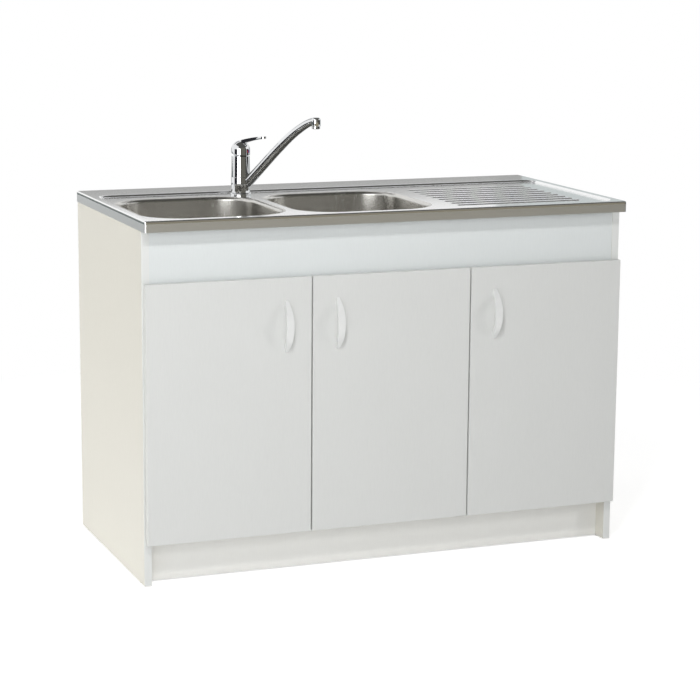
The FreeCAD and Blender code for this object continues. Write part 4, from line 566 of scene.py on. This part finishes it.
def tube_and_collar():
    """The collar is a ring round the tap's body, and the tube starts inside the ring's wall."""
    shape = bmesh.new()
    path = spout_path()
    swept_tube(shape, path, spread(*TUBE_RADII, len(path)))
    tube = [*shape.verts, *shape.edges, *shape.faces]
    bmesh.ops.bisect_plane(
        shape, geom=tube, plane_co=(TUBE_START, 0, 0), plane_no=(1, 0, 0), clear_inner=True
    )
    ends = turned(shape, COLLAR_RADIUS, *COLLAR_ENDS)
    rims = {edge for face in ends for edge in face.edges}
    bmesh.ops.inset_individual(shape, faces=ends, thickness=COLLAR_WALL)
    bore = [edge for face in ends for edge in face.edges]
    bmesh.ops.delete(shape, geom=ends, context="FACES_ONLY")
    bmesh.ops.bridge_loops(shape, edges=bore)
    soften(shape, rims, COLLAR_ROUND, segments=3)
    return shape


spout = tube_and_collar()
print("tube and collar of", len(spout.faces), "faces")

# %% Nose
NOSE_RADIUS = 11.25 * MM
NOSE_ENDS = (-13 * MM, 8.5 * MM)
NOSE_WALL = 2.4 * MM
NOSE_SOCKET = 6.5 * MM
CROWN_ROUND = 6.2 * MM
LIP_ROUND = 0.6 * MM


def spout_nose():
    """The round head at the end of the tube, with a socket for the aerator below."""
    head = bmesh.new()
    low, high = turned(head, NOSE_RADIUS, *NOSE_ENDS)
    crown = list(high.edges)
    lip = list(low.edges)
    bmesh.ops.inset_individual(head, faces=[low], thickness=NOSE_WALL)
    socket = bmesh.ops.extrude_discrete_faces(head, faces=[low])["faces"]
    bmesh.ops.translate(head, vec=(0, 0, NOSE_SOCKET), verts=socket[0].verts)
    soften(head, crown, CROWN_ROUND, segments=7)
    soften(head, lip, LIP_ROUND, segments=2)
    return head


gather(spout, spout_nose(), Matrix.Translation(spout_path()[-1]))
print("with its nose", len(spout.faces), "faces")

# %% Spout in its place
foot = middle_of("tap_base_ring")
foot.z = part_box("tap_base_ring")[0].z
nozzle = middle_of("tap_aerator")
swing = math.atan2(nozzle.y - foot.y, nozzle.x - foot.x)
at_rest = Matrix.Translation(foot) @ Matrix.Rotation(swing, 4, "Z")
bmesh.ops.transform(spout, matrix=at_rest, verts=spout.verts)
bmesh.ops.recalc_face_normals(spout, faces=spout.faces)
add_piece("tap_spout_swept", spout, "tap_spout", instead=True)
print("spout swept, turned to", round(math.degrees(swing)), "degrees")

# %% [markdown]
# ## The lever
# The lever is cast with the cap, and polishing rounds every edge of its arm. Those rounds are what makes a
# chrome arm readable, since they mirror the dark parts of the room. The cap below keeps its shape.

# %% Polished lever
ARM_HEIGHT = 17 * MM
ARM_ROUND = 2.3 * MM
lever, lever_rims = flat_faced("tap_lever")
arm_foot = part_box("tap_lever")[1].z - ARM_HEIGHT
arm_rims = [edge for edge in lever_rims if min(vert.co.z for vert in edge.verts) > arm_foot]
soften(lever, arm_rims, ARM_ROUND, segments=5)
add_piece("tap_lever_polished", lever, "tap_lever", instead=True)
print("rounded", len(arm_rims), "edges of the lever's arm")

# %% [markdown]
# ## Screw heads and cam locks
# Flat-pack boards are drawn together by cam locks, round studs that turn with a cross-head driver. The
# hinges and the handles hold with cross-head screws. A head starts as a grid of nine faces. The five that
# form a cross are pushed in, the border is bridged to a circle, and the circle is drawn down as the rim.

# %% Where the heads sit
X, Y, Z = range(3)


def loose_boxes(name):
    """The box of each loose part of a solid."""
    shape = merged_copy(name)
    left = set(shape.verts)
    boxes = []
    while left:
        front = {left.pop()}
        part = set()
        while front:
            part |= front
            front = {edge.other_vert(vert) for vert in front for edge in vert.link_edges} - part
        left -= part
        columns = list(zip(*(vert.co for vert in part)))
        boxes.append((Vector(map(min, columns)), Vector(map(max, columns))))
    shape.free()
    return boxes


def thin_axis(low, high):
    return min((X, Y, Z), key=lambda axis: (high - low)[axis])


def facing(low, high, axis, sign, lift):
    """A place on the end of a box that looks along an axis, or against it where the sign is -1."""
    place = (low + high) / 2
    place[axis] = (high if sign > 0 else low)[axis] + sign * lift
    look = Vector((0, 0, 0))
    look[axis] = sign
    return Matrix.Translation(place) @ look.to_track_quat("Z", "Y").to_matrix().to_4x4()


print(len(loose_boxes("hinge_plate_screws")), "hinge screws and", len(loose_boxes("cam_locks")), "cam locks")

# %% Cross-head shape
# Shares of the head's radius, but the spread is a share of the flat and the dome one of the height
CROSS_REACH = 0.55
CROSS_TAPER = 0.08
ON_AXIS = 0.1
FLAT_REACH = 0.9
RIM_SPREAD = 1.1
DOME = 0.15


def cross_head(shape, box, axis, sign, radius, height, depth):
    head = bmesh.new()
    bmesh.ops.create_grid(head, x_segments=3, y_segments=3, size=radius * CROSS_REACH)
    middles = {face: face.calc_center_median() for face in head.faces}
    cross = [face for face, middle in middles.items() if min(abs(middle.x), abs(middle.y)) < radius * ON_AXIS]
    border = [edge for edge in head.edges if edge.is_boundary]
    bmesh.ops.inset_region(head, faces=cross, thickness=radius * CROSS_TAPER, depth=-depth)
    ring = bmesh.ops.create_circle(head, segments=24, radius=radius * FLAT_REACH)["verts"]
    circle = list({edge for vert in ring for edge in vert.link_edges})
    bmesh.ops.translate(head, vec=(0, 0, -height * DOME), verts=ring)
    bmesh.ops.bridge_loops(head, edges=border + circle)
    rim = new_verts(bmesh.ops.extrude_edge_only(head, edges=circle))
    bmesh.ops.scale(head, vec=(RIM_SPREAD, RIM_SPREAD, 1), verts=rim)
    bmesh.ops.translate(head, vec=(0, 0, -height * (1 - DOME)), verts=rim)
    bmesh.ops.recalc_face_normals(head, faces=head.faces)
    gather(shape, head, facing(*box, axis, sign, height))


# %% Heads on every screw and lock
SCREW_HEAD = {"radius": 3.8 * MM, "height": 0.6 * MM, "depth": 0.5 * MM}
LOCK_HEAD = {"radius": 7.4 * MM, "height": 0.5 * MM, "depth": 0.4 * MM}

plate_heads = bmesh.new()
for low, high in loose_boxes("hinge_plate_screws"):
    sign = 1 if low.x < 0 else -1
    cross_head(plate_heads, (low, high), X, sign, **SCREW_HEAD)
add_piece("hinge_plate_screw_heads", plate_heads, "hinge_plate_screws")
for handle in HANDLES:
    handle_heads = bmesh.new()
    for box in loose_boxes(f"{handle}_screws"):
        cross_head(handle_heads, box, Y, 1, **SCREW_HEAD)
    add_piece(f"{handle}_screw_heads", handle_heads, f"{handle}_screws")
lock_heads = bmesh.new()
for low, high in loose_boxes("cam_locks"):
    axis = thin_axis(low, high)
    # A lock looks along x, inwards along y, or down
    sign = {X: 1, Y: -1 if low.y > 0 else 1, Z: -1}[axis]
    cross_head(lock_heads, (low, high), axis, sign, **LOCK_HEAD)
add_piece("cam_lock_heads", lock_heads, "cam_locks")
print("screw and lock heads cut")

# %% [markdown]
# ## Grip ribs and threads
# Plastic nuts and the trap's cup are tightened by hand, so ribs stand round them. One rib is a cube with
# bevelled edges that is spun into a ring of copies. The tap's shank has a thread: a small triangle spun
# with a rise at each step.

# %% Grip ribs
NUT_RIBS = {"count": 20, "wide": 3.2 * MM}
NUT_RIB_SINK = 0.2 * MM
NUT_GRIP_SHARE = 0.8
CUP_RIBS = {"count": 24, "wide": 3.4 * MM}
CUP_RIB_SINK = 0.4 * MM
CUP_GRIP = 14 * MM
CUP_GRIP_DROP = 9 * MM
RIB_CHAMFER_SHARE = 0.3


def ribs(shape, place, radius, length, count, wide):
    rib = bmesh.new()
    bmesh.ops.create_cube(rib, size=1)
    bmesh.ops.scale(rib, vec=(wide, wide, length), verts=rib.verts)
    soften(rib, rib.edges, wide * RIB_CHAMFER_SHARE, segments=1)
    bmesh.ops.translate(rib, vec=(radius, 0, 0), verts=rib.verts)
    everything = [*rib.verts, *rib.edges, *rib.faces]
    turn = math.tau * (count - 1) / count
    bmesh.ops.spin(
        rib, geom=everything, cent=(0, 0, 0), axis=(0, 0, 1), angle=turn, steps=count - 1, use_duplicate=True
    )
    gather(shape, rib, place)


nut_ribs = bmesh.new()
for low, high in loose_boxes("coupling_nuts"):
    size = high - low
    axis = thin_axis(low, high)
    along = facing(low, high, axis, 1, -size[axis] / 2)
    ribs(nut_ribs, along, max(size) / 2 - NUT_RIB_SINK, size[axis] * NUT_GRIP_SHARE, **NUT_RIBS)
add_piece("coupling_nut_ribs", nut_ribs, "coupling_nuts")
low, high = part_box("trap_cup")
grip = middle_of("trap_cup")
grip.z = high.z - CUP_GRIP_DROP
cup_ribs = bmesh.new()
ribs(cup_ribs, Matrix.Translation(grip), (high.x - low.x) / 2 - CUP_RIB_SINK, CUP_GRIP, **CUP_RIBS)
add_piece("trap_cup_ribs", cup_ribs, "trap_cup")
print("ribs on nuts and trap cup")

# %% Thread on the tap's shank
PITCH = 2 * MM
TOOTH = 0.8 * MM
STEPS_PER_TURN = 24
low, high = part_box("tap_shank")
turns = int((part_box("tap_nut")[0].z - low.z - PITCH) / PITCH)
thread = bmesh.new()
tooth = bmesh.ops.create_circle(thread, segments=3, radius=TOOTH)["verts"]
upright = Matrix.Translation(((high.x - low.x) / 2, 0, 0)) @ Matrix.Rotation(math.pi / 2, 4, "X")
bmesh.ops.transform(thread, matrix=upright, verts=tooth)
bmesh.ops.spin(
    thread, geom=[*thread.verts, *thread.edges], cent=(0, 0, 0), axis=(0, 0, 1), angle=math.tau * turns,
    dvec=(0, 0, PITCH / STEPS_PER_TURN), steps=STEPS_PER_TURN * turns,
)
thread_start = middle_of("tap_shank")
thread_start.z = low.z + PITCH / 2
bmesh.ops.translate(thread, vec=thread_start, verts=thread.verts)
bmesh.ops.recalc_face_normals(thread, faces=thread.faces)
add_piece("tap_shank_thread", thread, "tap_shank")
print("thread of", turns, "turns")

# %% [markdown]
# ## Aerator screen and panel pins
# The nozzle ends in a fine wire screen, made from a round patch of a grid with the wireframe operator. The
# hardboard back is pinned to the boards round it, so low pin heads run along its lower edge, up its sides
# and up the divider.

# %% Screen in the nozzle
SCREEN_CELLS = 12
SCREEN_HALF = 8.2 * MM
SCREEN_RADIUS = 8.3 * MM
SCREEN_WIRE = 0.3 * MM
SCREEN_RECESS = 1.2 * MM
screen = bmesh.new()
bmesh.ops.create_grid(screen, x_segments=SCREEN_CELLS, y_segments=SCREEN_CELLS, size=SCREEN_HALF)
outside = [face for face in screen.faces if face.calc_center_median().length > SCREEN_RADIUS]
bmesh.ops.delete(screen, geom=outside, context="FACES")
bmesh.ops.wireframe(
    screen, faces=screen.faces[:], thickness=SCREEN_WIRE, use_replace=True, use_boundary=True,
    use_even_offset=True,
)
screen_middle = Vector((nozzle.x, nozzle.y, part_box("tap_aerator")[0].z + SCREEN_RECESS))
bmesh.ops.translate(screen, vec=screen_middle, verts=screen.verts)
print("screen of", len(screen.faces), "faces")
add_piece("aerator_screen", screen, "tap_aerator", "nickel")

# %% Pins round the back panel
PIN_RADIUS = 2.2 * MM
PIN_HEIGHT = 0.6 * MM
PIN_ROUND = 0.4 * MM
LOW_ROW_LIFT = 9 * MM
LOW_ROW_INSET = 30 * MM
SIDE_ROW_INSET = 5 * MM
SIDE_ROW_START = 50 * MM
SIDE_ROW_END = 20 * MM


def pin(shape, place):
    head = bmesh.new()
    top = turned(head, PIN_RADIUS, 0, PIN_HEIGHT, sides=12)[1]
    soften(head, top.edges, PIN_ROUND, segments=2)
    gather(shape, head, place)


low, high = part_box("back_panel")
spots = [(x, low.z + LOW_ROW_LIFT) for x in spread(low.x + LOW_ROW_INSET, high.x - LOW_ROW_INSET, 9)]
uprights = (low.x + SIDE_ROW_INSET, middle_of("divider_panel").x, high.x - SIDE_ROW_INSET)
spots += [(x, z) for x in uprights for z in spread(low.z + SIDE_ROW_START, high.z - SIDE_ROW_END, 4)]
rearward = Vector((0, 1, 0)).to_track_quat("Z", "Y").to_matrix().to_4x4()
pins = bmesh.new()
for x, z in spots:
    pin(pins, Matrix.Translation((x, high.y, z)) @ rearward)
add_piece("back_panel_pins", pins, "back_panel", "nickel")
print(len(spots), "pins in the back panel")

# %% [markdown]
# ## Floor and room
# The unit stands on a pale floor in front of white. The floor takes the unit's shadow near it and fades to
# plain white further off, but only to the eye and in mirrors: the light that it sends back onto the unit
# stays that of a pale floor. The room is white to look at in the same way, and lights the unit softly from
# everywhere.

# %% A flat sheet for the stage


def stage_sheet(name, size, place, aim, finish):
    shape = bmesh.new()
    bmesh.ops.create_grid(shape, x_segments=1, y_segments=1, size=0.5)
    bmesh.ops.scale(shape, vec=(*size, 1), verts=shape.verts)
    turn = Vector(aim).to_track_quat("Z", "Y").to_matrix().to_4x4()
    bmesh.ops.transform(shape, matrix=Matrix.Translation(place) @ turn, verts=shape.verts)
    mesh = bpy.data.meshes.new(name)
    shape.to_mesh(mesh)
    shape.free()
    mesh.materials.append(finish.material)
    sheet = bpy.data.objects.new(name, mesh)
    bpy.context.scene.collection.objects.link(sheet)
    return sheet


# %% Floor
WHITE = (1, 1, 1, 1)
FLOOR_LIFT = 0.58
FADE_ENDS = (0.9, 2.2)


def pale_floor():
    """White to the eye far from the unit, and able to take its shadow near it."""
    finish = Finish("pale_floor", roughness=0.8, specular_ior_level=0.2)
    mottle = finish.noise(3, detail=2)
    finish.feed(base_color=finish.blend(mottle, (0.94, 0.94, 0.94), (0.92, 0.92, 0.92)))
    seen = finish.seen()
    far = finish.add("ShaderNodeVectorMath", {"operation": "LENGTH"}, {0: finish.place()}, output="Value")
    white = finish.add("ShaderNodeEmission", sockets={"Color": WHITE, "Strength": 1.0})
    glow = finish.add("ShaderNodeEmission", sockets={"Color": WHITE, "Strength": FLOOR_LIFT})
    none = finish.add("ShaderNodeEmission", sockets={"Strength": 0.0})
    lift = finish.add("ShaderNodeMixShader", sockets={0: seen, 1: none, 2: glow})
    matt = Value(finish, finish.shader.outputs[0])
    near = finish.add("ShaderNodeAddShader", sockets={0: matt, 1: lift})
    fade = finish.span(far, *FADE_ENDS, 0.0, 1.0) * seen
    return finish.show(finish.add("ShaderNodeMixShader", sockets={0: fade, 1: near, 2: white}))


stage_sheet("floor", (60, 60), (0, 0, 0), (0, 0, 1), pale_floor())
print("floor laid")

# %% White room
ROOM_LIGHT = 0.25
world = bpy.data.worlds.new("white_room")
bpy.context.scene.world = world
world.use_nodes = True
room = Graph(world.node_tree)
backdrop = world.node_tree.nodes["Background"]
backdrop.inputs["Color"].default_value = WHITE
room.connect(room.seen() * (1 - ROOM_LIGHT) + ROOM_LIGHT, backdrop.inputs["Strength"])
print("the room lights the unit at", ROOM_LIGHT)

# %% [markdown]
# ## What the steel mirrors
# Steel and chrome show what stands round them, and an all-white room would leave them blank. So cards that
# only shiny surfaces see give them a brown floor and a dim wall in front, a dark ceiling, greys behind, a
# bright window on the left and a dark flag on each side, as in a photographer's studio.

# %% Cards that only shiny surfaces see


def card(name, size, place, aim, colour):
    finish = Finish(name)
    finish.show(finish.add("ShaderNodeEmission", sockets={"Color": (*colour, 1), "Strength": 1.0}))
    sheet = stage_sheet(name, size, place, aim, finish)
    sheet.visible_camera = False
    sheet.visible_diffuse = False
    sheet.visible_shadow = False
    sheet.visible_transmission = False
    return sheet


cards = [
    card("front_floor_card", (16, 7.4), (1, -5.5, 0.01), (0, 0, 1), (0.32, 0.29, 0.215)),
    card("front_wall_card", (14, 7), (0, -6.5, 3.4), (0, 1, 0), (0.15, 0.145, 0.125)),
    card("ceiling_card", (10, 8.3), (1.5, -2.55, 4.5), (0, 0, -1), (0.09, 0.09, 0.085)),
    card("back_floor_card", (7.1, 9.2), (-5.05, 3.9, 0.01), (0, 0, 1), (0.14, 0.165, 0.16)),
    card("ledge_card", (1.35, 0.965), (0.175, 0.8, 0.4825), (0, -1, 0), (0.38, 0.38, 0.375)),
    card("end_card", (1.2, 1.3), (1.45, 0.85, 0.65), (-0.3, -1, 0), (0.56, 0.60, 0.60)),
    card("high_card", (8, 2.0), (1, 3.2, 4.2), (0, -1, -0.4), (0.40, 0.40, 0.41)),
    card("window_card", (2.0, 1.6), (-2.2, -2.2, 1.0), (2.0, 2.0, -0.6), (4.2, 4.2, 4.2)),
    card("left_flag", (1.9, 1.7), (-2.9, -0.4, 0.45), (1, 0.3, 0), (0.03, 0.03, 0.035)),
    card("right_flag", (4.2, 1.8), (3.4, -1.4, 0.4), (-1, 0.3, 0), (0.03, 0.03, 0.03)),
]
print(len(cards), "cards set up")

# %% [markdown]
# ## Lamps
# A large lamp at the left front lights the doors. A small one above makes the shadow under the sink's edge,
# and a far one on the right makes the handles' shadows. Two more keep the left side and the back from going
# dark. A lamp would make a hard glint in steel, so shiny surfaces see the cards instead.

# %% Lamps
FAINTLY_WARM = (1.0, 0.99, 0.97)
WARM = (1.0, 0.985, 0.95)


def lamp(name, place, target, size, power, colour=(1, 1, 1)):
    data = bpy.data.lights.new(name, "AREA")
    data.shape = "RECTANGLE"
    data.size, data.size_y = size
    data.energy = power
    data.color = colour
    thing = bpy.data.objects.new(name, data)
    bpy.context.scene.collection.objects.link(thing)
    thing.location = place
    thing.rotation_euler = (Vector(target) - Vector(place)).to_track_quat("-Z", "Y").to_euler()
    thing.visible_camera = False
    thing.visible_glossy = False
    return thing


lamps = [
    lamp("left_window", (-1.2, -2.6, 1.0), (-0.2, -0.2, 0.4), (1.6, 1.6), 20),
    lamp("overhead", (-1.2, -2.4, 3.0), (0, -0.2, 0.7), (0.4, 0.3), 34),
    lamp("right_window", (4.2, -2.9, 1.8), (0, -0.3, 0.55), (0.6, 0.7), 31, FAINTLY_WARM),
    lamp("side_fill", (-3.4, 0.9, 0.7), (-0.6, 0.1, 0.4), (1.8, 1.2), 40, WARM),
    lamp("back_fill", (0.6, 4.0, 2.2), (0, 0.3, 0.5), (3.0, 2.0), 34),
]
print("lamps:", [item.name for item in lamps])

# %% [markdown]
# ## Camera
# The camera's place, turn and lens come from fitting the unit's corners to the photograph: it stands well
# back, to the left of the unit and a little above it, with a long lens.

# %% Camera
# A place in metres, and a turn about x, y and z in degrees
EYE = (-1.909495, -4.874784, 1.483876)
TURN = (79.0446, -0.4389, -21.3438)
camera_data = bpy.data.cameras.new("camera")
camera_data.sensor_fit = "HORIZONTAL"
camera_data.sensor_width = 36
camera_data.lens = 111.634
camera = bpy.data.objects.new("camera", camera_data)
bpy.context.scene.collection.objects.link(camera)
camera.location = EYE
camera.rotation_euler = [math.radians(angle) for angle in TURN]
bpy.context.scene.camera = camera
bpy.context.scene.view_settings.view_transform = "Standard"
print("camera at", camera.location)
